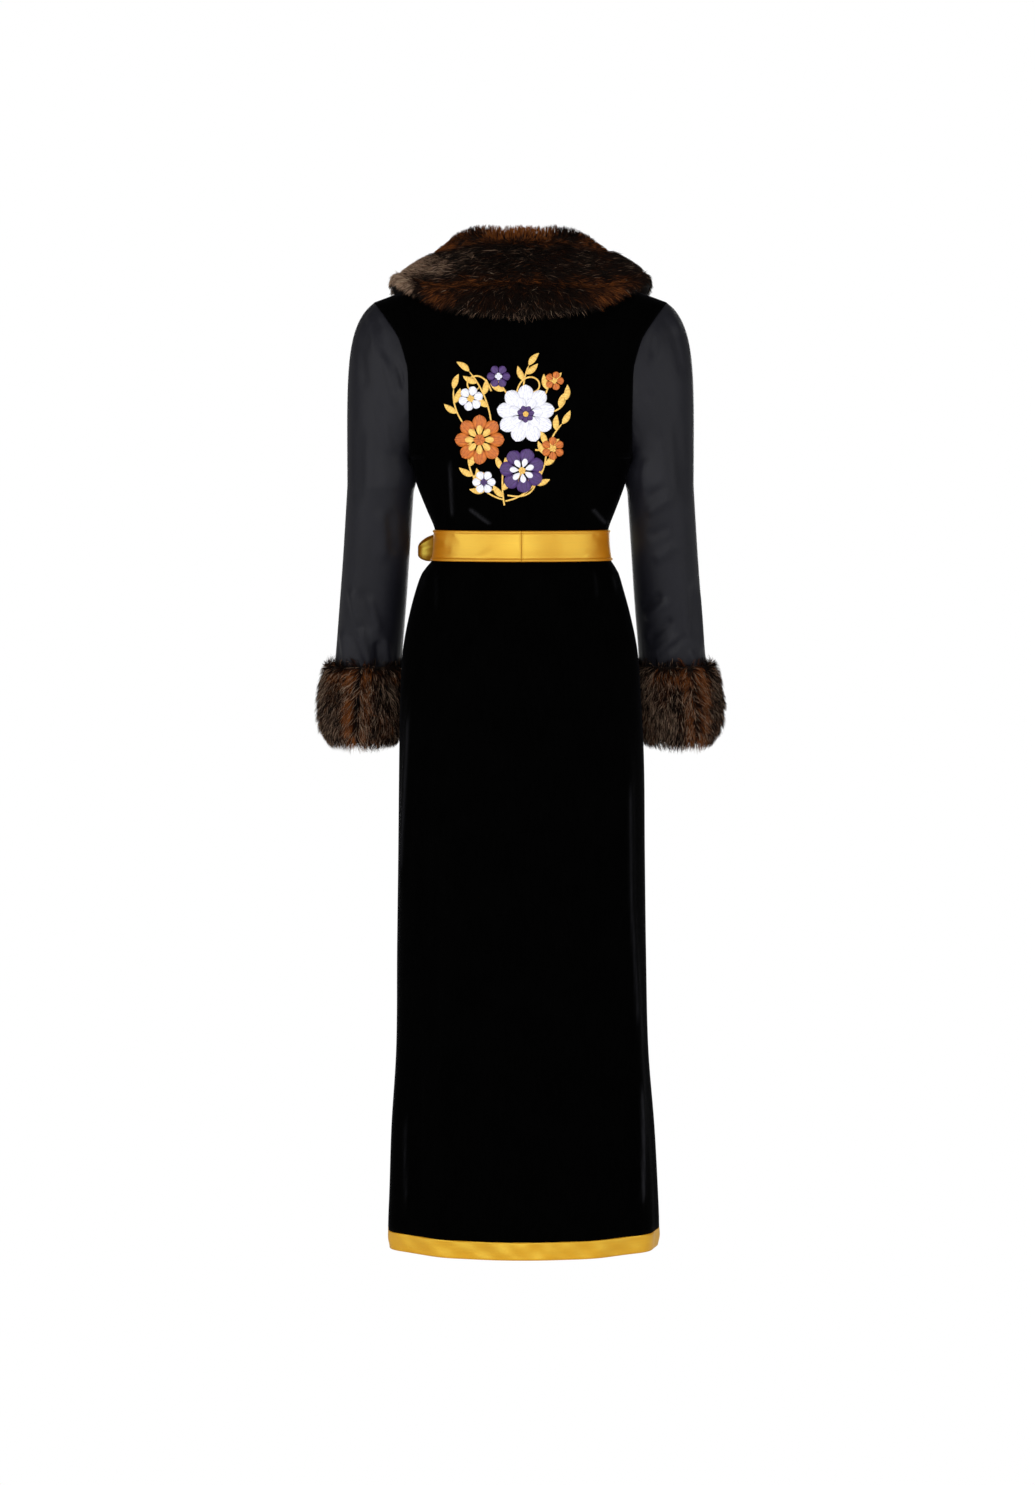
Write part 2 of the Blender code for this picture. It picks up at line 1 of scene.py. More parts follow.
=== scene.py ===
"""The looks of a long wrap robe in its worn form with nobody inside.

Velvet back and fronts, satin sleeves, a fur shawl collar, fur cuffs, a gold hem band and a tied gold sash.
Metres, in the part's own frame: +Z is up, +Y is the way the wearer faces and +X is the wearer's right.
"""

import math
from collections import namedtuple

import bmesh
import bpy
import numpy as np
from mathutils import Matrix, Vector
from mathutils.bvhtree import BVHTree
from mathutils.kdtree import KDTree


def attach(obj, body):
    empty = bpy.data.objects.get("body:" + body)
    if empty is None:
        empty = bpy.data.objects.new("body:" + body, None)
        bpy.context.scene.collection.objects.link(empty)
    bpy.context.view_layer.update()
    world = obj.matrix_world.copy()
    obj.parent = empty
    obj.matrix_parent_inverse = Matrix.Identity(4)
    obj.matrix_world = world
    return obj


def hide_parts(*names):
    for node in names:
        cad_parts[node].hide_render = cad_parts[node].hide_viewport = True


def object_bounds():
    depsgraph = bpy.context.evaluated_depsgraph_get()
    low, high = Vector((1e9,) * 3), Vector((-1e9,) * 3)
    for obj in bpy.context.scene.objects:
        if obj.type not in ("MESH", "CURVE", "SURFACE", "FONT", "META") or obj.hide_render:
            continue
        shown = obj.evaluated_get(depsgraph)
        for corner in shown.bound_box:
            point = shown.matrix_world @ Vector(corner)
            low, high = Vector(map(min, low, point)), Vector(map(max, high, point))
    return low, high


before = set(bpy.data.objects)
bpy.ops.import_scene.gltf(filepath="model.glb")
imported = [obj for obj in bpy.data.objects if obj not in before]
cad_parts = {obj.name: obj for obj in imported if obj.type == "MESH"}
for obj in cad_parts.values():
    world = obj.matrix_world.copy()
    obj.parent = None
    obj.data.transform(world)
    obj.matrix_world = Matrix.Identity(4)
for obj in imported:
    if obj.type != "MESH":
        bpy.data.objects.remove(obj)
cad_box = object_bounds()

MILLIMETRE = 0.001

# Cloth walls and the gaps between pieces
VELVET_WALL = 0.0016
SATIN_WALL = 0.0010
BAND_WALL = 0.0020
FUR_BACKING = 0.0015
SEAM_GAP = 0.0006
SEAM_LAP = 0.0002
SLEEVE_LAP = 0.0015
LAY_GAP = 0.0008
MERGE_DISTANCE = 1e-6

# Sections of the body, hem up: side seams at half_width from a shifted middle, back and front at depths
Level = namedtuple("Level", "height half_width shift back_depth front_depth")
LEVELS = (
    Level(-1.368, 0.1900, 0.0045, 0.124, 0.128),
    Level(-1.343, 0.1915, 0.0045, 0.124, 0.128),
    Level(-1.290, 0.1895, 0.0045, 0.123, 0.127),
    Level(-1.201, 0.1855, 0.0035, 0.122, 0.124),
    Level(-1.089, 0.1775, 0.0025, 0.120, 0.120),
    Level(-0.950, 0.1750, 0.0015, 0.120, 0.115),
    Level(-0.810, 0.1730, 0.0015, 0.121, 0.112),
    Level(-0.683, 0.1715, 0.0015, 0.122, 0.110),
    Level(-0.585, 0.1680, 0.0000, 0.120, 0.108),
    Level(-0.529, 0.1640, -0.0005, 0.115, 0.107),
    Level(-0.480, 0.1545, -0.0010, 0.106, 0.105),
    Level(-0.438, 0.1430, -0.0010, 0.097, 0.102),
    Level(-0.418, 0.1355, 0.0000, 0.092, 0.100),
    Level(-0.4035, 0.1245, 0.0015, 0.086, 0.097),
    Level(-0.382, 0.1205, 0.0015, 0.083, 0.095),
    Level(-0.361, 0.1210, 0.0015, 0.084, 0.096),
    Level(-0.335, 0.1310, 0.0010, 0.090, 0.104),
    Level(-0.300, 0.1445, 0.0005, 0.096, 0.115),
    Level(-0.263, 0.1550, 0.0000, 0.100, 0.122),
)
HEM = LEVELS[0].height
HEM_SEAM = LEVELS[1].height
SASH_BOTTOM = -0.4035
SASH_TOP = -0.361
UNDERARM = LEVELS[-1].height

# The largest flutes of the skirt, by the angle round the body from the centre back towards the wearer's right
Flute = namedtuple("Flute", "angle half_angle depth top")
FLUTES = (
    Flute(-70, 16, 0.006, -0.52),
    Flute(62, 15, 0.006, -0.60),
    Flute(-36, 14, 0.003, -0.90),
    Flute(30, 16, 0.003, -0.95),
    Flute(118, 18, 0.006, -0.55),
    Flute(-112, 16, 0.006, -0.60),
    Flute(160, 16, 0.004, -0.80),
)

# Neck and shoulder
NECK_HALF_WIDTH = 0.075
NECK_BACK_DEPTH = 0.062
NECK_BACK_DROP = 0.012
SHOULDER_TIP_X = 0.203
SHOULDER_TIP_DROP = 0.046
SHOULDER_TURN = 0.55
SHOULDER_ROUNDNESS = 2.6

# The armhole: its half depth, and its distance from the middle from the underarm up to the shoulder tip
ARMHOLE_HALF_DEPTH = 0.072
ArmholeEdge = namedtuple("ArmholeEdge", "height half_width")
ARMHOLE_EDGE = (
    ArmholeEdge(-0.263, 0.155),
    ArmholeEdge(-0.190, 0.154),
    ArmholeEdge(-0.113, 0.158),
    ArmholeEdge(-0.092, 0.169),
    ArmholeEdge(-0.064, 0.189),
    ArmholeEdge(-0.046, 0.203),
)

# Depth of the body's middle between the underarm (share 0) and the neck (share 1)
YokeDepth = namedtuple("YokeDepth", "share back_depth front_depth")
YOKE_DEPTH = (
    YokeDepth(0.00, 0.100, 0.122),
    YokeDepth(0.35, 0.106, 0.121),
    YokeDepth(0.65, 0.102, 0.112),
    YokeDepth(0.85, 0.087, 0.088),
    YokeDepth(1.00, 0.062, 0.050),
)

# Edges of the fronts, in degrees from the centre front towards their own side: below 0 is past the middle
WRAP_ANGLE = -30
FrontEdge = namedtuple("FrontEdge", "height angle")
FRONT_EDGE = (
    FrontEdge(SASH_TOP, WRAP_ANGLE),
    FrontEdge(-0.335, -22),
    FrontEdge(-0.300, -10),
    FrontEdge(UNDERARM, 3),
)
YOKE_EDGE_ANGLE = math.degrees(math.asin(NECK_HALF_WIDTH / SHOULDER_TIP_X))

# Where the left front sinks under the right: angles from the centre back, and the yoke's share it ends at
UNDERLAP_START = 125
UNDERLAP_FULL = 147
UNDERLAP_END = 0.33

# Sleeve rings from the wrist up to below the armhole, and the cap that joins the highest to the armhole
SleeveRing = namedtuple("SleeveRing", "height centre_x centre_y half_width half_depth")
SLEEVE_RINGS = (
    SleeveRing(-0.675, 0.2257, 0.0923, 0.0470, 0.050),
    SleeveRing(-0.600, 0.2192, 0.0750, 0.0470, 0.052),
    SleeveRing(-0.522, 0.2125, 0.0570, 0.0470, 0.054),
    SleeveRing(-0.459, 0.2070, 0.0425, 0.0470, 0.056),
    SleeveRing(-0.396, 0.2020, 0.0280, 0.0466, 0.058),
    SleeveRing(-0.300, 0.1950, 0.0060, 0.0466, 0.060),
)
SLEEVE_TOP = SLEEVE_RINGS[-1].height
SLEEVE_END = -0.657
CAP_REACH = 0.62
CAP_BULGE = 0.34
CAP_OUTWARD = np.array((0.8, 0.0, -0.6))

# The collar's fold and edge as offsets from its seam, and its fullness, by shares from centre back to front
CollarStation = namedtuple("CollarStation", "share fold_x fold_y fold_z edge_x edge_y edge_z fullness")
COLLAR_STATIONS = (
    CollarStation(0.00, 0.000, -0.010, 0.047, 0.000, -0.048, -0.056, 1.00),
    CollarStation(0.13, 0.006, -0.008, 0.043, 0.045, -0.058, -0.052, 0.88),
    CollarStation(0.26, 0.010, -0.003, 0.030, 0.101, -0.020, -0.024, 0.55),
    CollarStation(0.42, 0.012, 0.008, 0.026, 0.104, 0.020, -0.032, 0.60),
    CollarStation(0.65, 0.010, 0.028, 0.014, 0.100, 0.010, -0.020, 0.80),
    CollarStation(0.85, 0.008, 0.026, 0.006, 0.070, 0.014, -0.012, 0.75),
    CollarStation(1.00, 0.006, 0.020, 0.002, 0.032, 0.014, -0.006, 0.30),
)
COLLAR_NECK_SHARE = 0.26
COLLAR_END_SHARE = 0.04
COLLAR_SEAM_LIFT = 0.0012
COLLAR_TUCK = 0.0025
COLLAR_TUCK_SHARE = 0.10
COLLAR_LIFT_TURN = 0.3
COLLAR_FOLD_AT = 0.33
COLLAR_FOLD_WIDTH = 0.030
COLLAR_FOLD_ARRIVE = 0.6
COLLAR_FOLD_LEAVE = 1.2
COLLAR_EDGE_ARRIVE = 1.1


def between(start, end, share):
    return start + (end - start) * share


def ease(share):
    share = np.clip(share, 0.0, 1.0)
    return share * share * (3 - 2 * share)


def ease_past(places, start, reach):
    """0 up to a start, rising softly to 1 at a reach past it."""
    return ease((places - start) / reach)


def bump_at(places, middle, half_width):
    """1 at a middle, falling softly to 0 at half a width from it."""
    return 0.5 + 0.5 * np.cos(np.pi * np.minimum(np.abs(places - middle) / half_width, 1))


def xyz(x, y, z):
    """Points from their three coordinates, in rows of one shape."""
    return np.stack(np.broadcast_arrays(x, y, z), axis=-1).astype(float)


def unit(vectors):
    return vectors / np.linalg.norm(vectors, axis=-1, keepdims=True)


def read_table(rows, column, at):
    """A column's values at places along a table's first column, on a smooth curve through its rows."""
    places = np.array([row[0] for row in rows])
    values = np.array([getattr(row, column) for row in rows])
    order = np.arange(len(rows))
    before = np.maximum(order - 1, 0)
    after = np.minimum(order + 1, len(rows) - 1)
    slopes = (values[after] - values[before]) / (places[after] - places[before])
    i = np.clip(np.searchsorted(places, at, side="right") - 1, 0, len(rows) - 2)
    span = places[i + 1] - places[i]
    u = np.clip((at - places[i]) / span, 0.0, 1.0)
    rise = values[i + 1] - values[i]
    start = slopes[i] * span
    end = slopes[i + 1] * span
    return values[i] + u * (start + u * (3 * rise - 2 * start - end + u * (start + end - 2 * rise)))


def flute_relief(angle, height):
    """How far the skirt's flutes push the cloth out at an angle round the body, growing towards the hem."""
    relief = 0.0
    for flute in FLUTES:
        apart = (angle - flute.angle + 180) % 360 - 180
        growth = ease((flute.top - height) / (flute.top - HEM))
        relief = relief + flute.depth * growth * bump_at(apart, 0, flute.half_angle)
    return relief


def torso_points(angle, height):
    """The cloth's outside below the underarm, by the angle from the centre back to the wearer's right."""
    turn = np.radians(angle)
    back = read_table(LEVELS, "back_depth", height)
    front = read_table(LEVELS, "front_depth", height)
    depth = np.where(np.cos(turn) > 0, back, front)
    relief = flute_relief(angle, height)
    x = (read_table(LEVELS, "half_width", height) + relief) * np.sin(turn)
    x = x + read_table(LEVELS, "shift", height)
    return xyz(x, -(depth + relief) * np.cos(turn), height)


def yoke_points(turn, share, facing):
    """The cloth above the underarm: turn runs from a panel's middle to its armhole, share up to its seam."""
    middle_height = between(UNDERARM, -NECK_BACK_DROP, share)
    arm_middle = (UNDERARM - SHOULDER_TIP_DROP) / 2
    arm_reach = (-SHOULDER_TIP_DROP - UNDERARM) / 2
    side_height = arm_middle - arm_reach * np.cos(np.pi * share)
    side_x = read_table(ARMHOLE_EDGE, "half_width", side_height)
    side_y = facing * ARMHOLE_HALF_DEPTH * np.sin(np.pi * share)
    middle_y = facing * read_table(YOKE_DEPTH, "back_depth" if facing < 0 else "front_depth", share)
    climb = np.maximum(0.0, (share - SHOULDER_TURN) / (1 - SHOULDER_TURN))
    rounding = 1 - (1 - climb**SHOULDER_ROUNDNESS) ** (1 / SHOULDER_ROUNDNESS)
    seam_x = SHOULDER_TIP_X * np.sin(turn)
    neck = np.clip(seam_x / NECK_HALF_WIDTH, -1, 1)
    in_neck = np.abs(seam_x) < NECK_HALF_WIDTH
    along = (np.abs(seam_x) - NECK_HALF_WIDTH) / (SHOULDER_TIP_X - NECK_HALF_WIDTH)
    seam_y = facing * np.where(in_neck, NECK_BACK_DEPTH * np.sqrt(1 - neck * neck), -SEAM_LAP / 2)
    seam_z = np.where(in_neck, NECK_BACK_DROP * (neck * neck - 1), -SHOULDER_TIP_DROP * along)
    x = between(side_x * np.sin(turn), seam_x, climb)
    y = between(between(side_y, middle_y, np.cos(turn)), seam_y, rounding)
    z = between(between(middle_height, side_height, np.sin(turn) ** 2), seam_z, climb)
    return xyz(x, y, z)


def body_points(angle, level, facing):
    """The body's outside by degrees from the middle of the back or front to the wearer's right. The level is
    the metres below the underarm, as a number under 0, or the yoke's share above it."""
    round_body = angle if facing < 0 else 180 - angle
    torso = torso_points(round_body, UNDERARM + np.minimum(level, 0))
    yoke = yoke_points(np.radians(angle), np.maximum(level, 0), facing)
    return np.where((level < 0)[..., None], torso, yoke)


def front_edge_angle(level):
    """Degrees from the centre front to a front's free edge, on the panel's own side of it."""
    low = read_table(FRONT_EDGE, "angle", UNDERARM + level)
    return np.where(level < 0, low, between(FRONT_EDGE[-1].angle, YOKE_EDGE_ANGLE, level))


def front_points(angle, level, side):
    """A front's outside, by degrees from the centre front to its own side. The left lies under the right."""
    points = body_points(angle * side, level, 1)
    if side > 0:
        return points
    covered = ease((180 - angle - UNDERLAP_START) / (UNDERLAP_FULL - UNDERLAP_START))
    covered = covered * (1 - ease(np.maximum(level, 0) / UNDERLAP_END))
    inward = unit(points * (1, 1, 0))
    return points - inward * (covered * (VELVET_WALL + LAY_GAP))[..., None]


def armhole_points(turn):
    """The right armhole's edge, turn 0 at the shoulder tip, 0.5 at the underarm, the back first."""
    share = np.abs(1 - 2 * turn)
    back = yoke_points(np.pi / 2, share, -1)
    front = yoke_points(np.pi / 2, share, 1)
    return np.where((turn <= 0.5)[..., None], back, front)


def sleeve_ring_points(turn, height, stand_off=0.0):
    """The right sleeve's outside, turn 0 at the outer side, 0.25 at the back."""
    angle = 2 * np.pi * turn
    half_width = read_table(SLEEVE_RINGS, "half_width", height) + stand_off
    half_depth = read_table(SLEEVE_RINGS, "half_depth", height) + stand_off
    x = read_table(SLEEVE_RINGS, "centre_x", height) + half_width * np.cos(angle)
    y = read_table(SLEEVE_RINGS, "centre_y", height) - half_depth * np.sin(angle)
    return xyz(x, y, height)


def sleeve_cap_points(turn, share):
    """From the armhole seam (share 0), out over the shoulder and down to the first ring (share 1)."""
    start = armhole_points(turn)
    end = sleeve_ring_points(turn, SLEEVE_TOP)
    reach = np.linalg.norm(end - start, axis=-1, keepdims=True) * CAP_REACH
    start = start - CAP_OUTWARD * SLEEVE_LAP
    first = start + CAP_OUTWARD * reach * CAP_BULGE
    second = end + np.array((0.0, 0.0, 1.0)) * reach
    share = share[..., None]
    rest = 1 - share
    return start * rest**3 + first * (3 * rest**2 * share) + second * (3 * rest * share**2) + end * share**3


def collar_seam_points(share, seam_lift):
    """The right half of the line that the collar is sewn to, from centre back to front end, lifted off it."""
    angle = 0.5 * np.pi * np.minimum(share / COLLAR_NECK_SHARE, 1)
    part = np.sin(angle)
    neck = xyz(NECK_HALF_WIDTH * part, -NECK_BACK_DEPTH * np.cos(angle), NECK_BACK_DROP * (part * part - 1))
    past_neck = share - COLLAR_NECK_SHARE
    level = between(1.0, COLLAR_END_SHARE, np.maximum(past_neck, 0) / (1 - COLLAR_NECK_SHARE))
    front = front_points(front_edge_angle(level), level, 1)
    turned = ease(past_neck / COLLAR_LIFT_TURN)
    lift = xyz(0, turned, 1 - turned) * seam_lift
    return np.where((past_neck <= 0)[..., None], neck, front) + lift


def collar_points(share, across):
    """The collar's backing on the right half: across runs from the seam over the fold to the outer edge."""

    def offset(part):
        return xyz(*(read_table(COLLAR_STATIONS, f"{part}_{axis}", share) for axis in "xyz"))

    seam = collar_seam_points(share, COLLAR_SEAM_LIFT)
    rise = offset("fold")
    fall = offset("edge") - rise
    fold = seam + rise
    along_rise = (fall * rise).sum(-1, keepdims=True) / (rise * rise).sum(-1, keepdims=True)
    over = unit(fall - rise * along_rise) * COLLAR_FOLD_WIDTH
    standing = (across < COLLAR_FOLD_AT)[..., None]
    u = np.where(standing[..., 0], across / COLLAR_FOLD_AT, (across - COLLAR_FOLD_AT) / (1 - COLLAR_FOLD_AT))
    u = u[..., None]
    start = np.where(standing, seam, fold)
    step = np.where(standing, rise, fall)
    leave = np.where(standing, rise, over * COLLAR_FOLD_LEAVE)
    arrive = np.where(standing, over * COLLAR_FOLD_ARRIVE, fall * COLLAR_EDGE_ARRIVE)
    return start + u * (leave + u * (3 * step - 2 * leave - arrive + u * (leave + arrive - 2 * step)))


def outward_at(angle, height):
    """The way the body faces at an angle round it, level, from the places a degree to each side."""
    across = torso_points(angle + 1, height) - torso_points(angle - 1, height)
    return unit(xyz(across[..., 1], -across[..., 0], 0 * across[..., 0]))


def sash_points(angle, height, lift):
    """Places at a lift off the body, for what lies on it."""
    return torso_points(angle, height) + outward_at(angle, height) * np.asarray(lift)[..., None]


# Cuffs: the backing's outline from inside the sleeve's top edge down, as stand-off and rise from its end
CUFF_BOTTOM = -0.672
CUFF_GIRTH = 0.30
CuffLine = namedtuple("CuffLine", "share stand_off rise")
CUFF_BACKING = (
    CuffLine(0.00, 0.0030, 0.118),
    CuffLine(0.06, 0.0050, 0.119),
    CuffLine(0.12, 0.0066, 0.114),
    CuffLine(0.45, 0.0085, 0.070),
    CuffLine(0.62, 0.0080, 0.048),
    CuffLine(0.76, 0.0055, 0.030),
    CuffLine(0.87, 0.0015, 0.017),
    CuffLine(0.95, -0.0025, 0.011),
    CuffLine(1.00, -0.0040, 0.014),
)
CUFF_FUR_REACH = 0.0155

# The edges of the collar's fur strips as shares of its width, from the neck to its outer edge
StripEdges = namedtuple("StripEdges", "share neck upper_seam lower_seam outside")
STRIP_EDGES = (
    StripEdges(0.00, 0.0, 0.45, 0.775, 1.0),
    StripEdges(0.08, 0.0, 0.46, 0.800, 1.0),
    StripEdges(0.16, 0.0, 0.54, 0.870, 1.0),
    StripEdges(0.26, 0.0, 0.66, 0.920, 1.0),
    StripEdges(0.42, 0.0, 0.66, 0.910, 1.0),
    StripEdges(1.00, 0.0, 0.62, 0.850, 1.0),
)
FUR_REACH = 0.020
STRIP_GAP = 0.0004
CollarStrip = namedtuple(
    "CollarStrip", "name start end start_fullness end_fullness flat hairs hair_length rise"
)
COLLAR_STRIPS = (
    CollarStrip("collar_upper", "neck", "upper_seam", 0.20, 0.85, (0.70, 0.090), 50000, 0.015, 0.95),
    CollarStrip("collar_middle", "upper_seam", "lower_seam", 0.85, 0.85, (0.82, 0.060), 34000, 0.017, 1.00),
    CollarStrip("collar_lower", "lower_seam", "outside", 0.85, 0.60, (0.86, 0.029), 22000, 0.016, 0.80),
)

# Sash, knot, bow and hanging ends
WAIST_RADIUS = 0.10
KNOT_ANGLE = -150
KNOT_HALF_LENGTH = 0.016
KNOT_HALF_THICKNESS = 0.010
KNOT_HALF_HEIGHT = 0.019
LOOP_LENGTH = 0.071
LOOP_HALF_THICKNESS = 0.012
LOOP_OPEN_ANGLE = 6
LoopWidth = namedtuple("LoopWidth", "swell half_width")
LOOP_WIDTHS = (
    LoopWidth(0.00, 0.0110),
    LoopWidth(0.50, 0.0190),
    LoopWidth(0.75, 0.0170),
    LoopWidth(0.90, 0.0125),
    LoopWidth(0.97, 0.0085),
    LoopWidth(1.00, 0.0055),
)
LOOP_DROOP = 0.010
SASH_END_HALF_WIDTH = 0.020
SASH_END_GATHER = 0.55
SASH_END_SETTLE = 0.06
SASH_END_SWING_SHARE = 0.62
SashEnd = namedtuple("SashEnd", "name angle swing length lift")
SASH_ENDS = (
    SashEnd("sash_end_outer", -148, 8, 0.400, 0.0035),
    SashEnd("sash_end_inner", -151, -11, 0.360, 0.0070),
)

# Folds, each a soft ridge along a line, or a trough where its height is below 0
Fold = namedtuple("Fold", "half_width height line")


def folds(*rows):
    """Folds from rows in millimetres: half width, height and the (x, z) points of the line."""
    placed = []
    for half_width, height, *line in rows:
        placed.append(Fold(half_width * MILLIMETRE, height * MILLIMETRE, np.array(line) * MILLIMETRE))
    return placed


BACK_FOLDS = folds(
    (10, 2.2, (-160, -90), (-157, -140)),
    (9, -2, (-146, -85), (-143, -150)),
    (13, 2.8, (-114, -205), (-122, -255), (-129, -295)),
    (9, 3.4, (-97, -250), (-95, -298), (-92, -358)),
    (8, -2.2, (-110, -320), (-110, -358)),
    (9, 3.6, (-76.5, -325), (-34, -357)),
    (12, -2.6, (-60, -312), (-8, -350)),
    (8, 2.2, (-26, -336), (-4, -357)),
    (9, 2.4, (30, -340), (50, -357)),
    (11, -2.6, (74, -315), (100, -356)),
    (9, 3.6, (94, -326), (120.5, -356)),
    (14, 2.6, (112, -190), (122, -300)),
    (13, -2.4, (135, -130), (128, -230)),
    (10, 3.2, (-115, -408), (-115, -478)),
    (7, 2.2, (-129, -424), (-136, -450)),
    (11, -2.4, (-88, -408), (-82, -500)),
    (13, 2.6, (-50, -408), (-46, -520)),
    (10, -2, (-12, -408), (-6, -470)),
    (12, 2.4, (30, -408), (36, -510)),
    (11, -2.4, (70, -408), (80, -500)),
    (8, 2.6, (100, -412), (106, -460)),
    (7, 2.4, (125, -418), (133, -452)),
    (12, 4.4, (-146, -560), (-153, -622), (-157, -704), (-161, -778), (-166, -890)),
    (16, -4, (-126, -600), (-132, -760), (-138, -960)),
    (22, 5, (-92, -700), (-98, -980), (-110, -1330)),
    (20, -3.6, (-58, -820), (-62, -1340)),
    (22, 3.8, (-22, -740), (-26, -1050), (-20, -1340)),
    (20, -3.4, (20, -860), (24, -1340)),
    (22, 4.6, (62, -680), (68, -1000), (72, -1340)),
    (18, -4.2, (104, -760), (112, -1050), (116, -1335)),
    (12, 4.4, (140, -620), (149, -681), (151, -870), (160, -1025), (166, -1140)),
    (9, 3.6, (166, -1100), (170, -1209), (170, -1335)),
    (10, -4, (150, -1150), (156, -1213), (160, -1330)),
    (10, 3.4, (-156, -1150), (-160, -1211), (-158, -1330)),
    (11, -3.8, (-142, -1060), (-143, -1200), (-140, -1335)),
)
FRONT_FOLDS = folds(
    (14, 3, (140, -120), (128, -210), (120, -300)),
    (12, -3, (110, -210), (90, -355)),
    (12, 3.4, (90, -250), (62, -357)),
    (14, -3, (-130, -130), (-120, -300)),
    (12, 3.4, (-104, -220), (-86, -356)),
    (10, -2.4, (-70, -290), (-40, -357)),
    (11, 3.4, (100, -408), (108, -520)),
    (13, -3, (66, -408), (74, -560)),
    (14, 3, (20, -408), (30, -600)),
    (8, 2.6, (-128, -412), (-136, -500)),
    (14, 4.8, (140, -600), (148, -900), (158, -1335)),
    (18, -4.2, (112, -680), (120, -1000), (124, -1335)),
    (20, 5, (76, -620), (84, -980), (86, -1335)),
    (20, -3.6, (36, -760), (40, -1335)),
    (22, 4, (0, -680), (-4, -1335)),
    (18, 4.8, (-112, -850), (-118, -1050), (-124, -1335)),
    (20, -3.6, (-62, -840), (-66, -1080), (-60, -1335)),
    (14, -4, (-140, -700), (-148, -1050), (-152, -1335)),
)
SLEEVE_BACK_FOLDS_RIGHT = folds(
    (7, -3.4, (179, -76), (179, -126)),
    (7, 2.6, (190, -70), (192, -130)),
    (8, 3, (198, -46), (222, -92)),
    (10, -2.2, (208, -80), (226, -150)),
    (12, 2.2, (176, -165), (196, -235)),
    (10, 2.4, (176, -255), (170, -325)),
    (14, -2.2, (215, -200), (228, -330)),
    (10, -2.4, (172, -318), (206, -296)),
    (10, 3, (172, -340), (214, -312)),
    (10, -2.2, (176, -372), (206, -356)),
    (12, 2.4, (184, -405), (220, -380)),
    (8, -3.6, (169, -467), (198, -451)),
    (9, 4.2, (173, -489), (208, -458)),
    (10, -4.8, (176, -516), (214, -484)),
    (9, 4, (182, -540), (222, -506)),
    (8, -3.6, (208, -532), (232, -508)),
    (8, 3, (254, -440), (256, -540)),
    (9, -2.6, (240, -430), (243, -520)),
    (9, -4.8, (204, -548), (234, -564)),
    (8, 3.2, (236, -530), (250, -560)),
)
SLEEVE_BACK_FOLDS_LEFT = folds(
    (8, 3.2, (-209, -56), (-198, -128)),
    (8, -2.6, (-196, -60), (-186, -130)),
    (10, -2.2, (-222, -92), (-214, -170)),
    (9, 2.6, (-186, -120), (-172, -190)),
    (7, -3.6, (-170, -127), (-160, -170)),
    (12, 2.4, (-196, -180), (-178, -262)),
    (14, -2.2, (-222, -210), (-224, -330)),
    (12, -2.6, (-180, -330), (-174, -400)),
    (13, 2.4, (-196, -330), (-190, -410)),
    (9, 3, (-238, -440), (-226, -500)),
    (10, -2.8, (-224, -440), (-210, -510)),
    (9, 2.8, (-212, -450), (-196, -508)),
    (8, -3.2, (-240, -500), (-222, -556)),
    (8, 4.8, (-224.5, -496), (-211, -556)),
    (9, -5.8, (-201, -515), (-196, -556)),
    (7, 3, (-188, -510), (-184, -556)),
    (7, 2.8, (-252, -500), (-244, -556)),
)
SLEEVE_FRONT_FOLDS = folds(
    (10, 2.4, (200, -60), (214, -130)),
    (10, -2, (182, -100), (178, -180)),
    (12, 2.2, (168, -210), (204, -240)),
    (13, -2, (168, -240), (206, -276)),
    (12, 2.4, (170, -290), (214, -318)),
    (14, -2, (172, -330), (212, -350)),
    (13, 2, (180, -372), (226, -384)),
    (14, -1.6, (186, -440), (232, -420)),
    (12, 2.4, (184, -480), (230, -510)),
    (12, -1.8, (196, -520), (240, -540)),
)
FOLD_TAPER = 0.22
FOLD_FACING = 2.2
# Which folds get the painted highlight along their tops, by steepness, and how narrow it is
CREST_STEEPNESS = (0.28, 0.46)
CREST_HALF_WIDTH = 0.0030


def fold_shapes(points, placed):
    """Each listed fold with its share of its full height over the points."""
    seen = points[..., (0, 2)]
    for fold in placed:
        ways = np.diff(fold.line, axis=0)
        lengths = np.linalg.norm(ways, axis=1)
        nearest = np.full(seen.shape[:-1], np.inf)
        place = np.zeros(seen.shape[:-1])
        for start, way, length, before in zip(fold.line, ways, lengths, np.cumsum(lengths) - lengths):
            along = np.clip(((seen - start) @ way) / length**2, 0, 1)
            apart = np.linalg.norm(seen - start - along[..., None] * way, axis=-1)
            place = np.where(apart < nearest, before + along * length, place)
            nearest = np.minimum(apart, nearest)
        place = place / lengths.sum()
        taper = ease(place / FOLD_TAPER) * ease((1 - place) / FOLD_TAPER)
        yield fold, taper * bump_at(nearest, 0, fold.half_width)


def fold_relief(points, normals, placed, facing):
    """How far the listed folds lift the cloth that faces back (-1) or forward (1)."""
    relief = sum(fold.height * shape for fold, shape in fold_shapes(points, placed))
    return relief * ease(facing * normals[..., 1] * FOLD_FACING)


def painted_crest_sheen(points, placed):
    """How much painted sheen lies along the tops of the steeper folds, from 0 to 1: a painted highlight where
    fold tops catch the light.
    """
    crest_sheen = np.zeros(points.shape[:-1])
    none, full = CREST_STEEPNESS
    for fold, shape in fold_shapes(points, placed):
        steep = (fold.height / fold.half_width - none) / (full - none)
        sharpness = (fold.half_width / CREST_HALF_WIDTH) ** 2
        crest_sheen = np.maximum(crest_sheen, np.clip(steep, 0, 1) ** 2 * shape**sharpness)
    return crest_sheen


def mark_painted_sheen(piece, crest_sheen):
    """Keeps a panel's painted sheen along its fold tops for its finish."""
    layer = piece.data.attributes.new("crest", "FLOAT", "POINT")
    layer.data.foreach_set("value", crest_sheen.astype(np.float32).ravel())


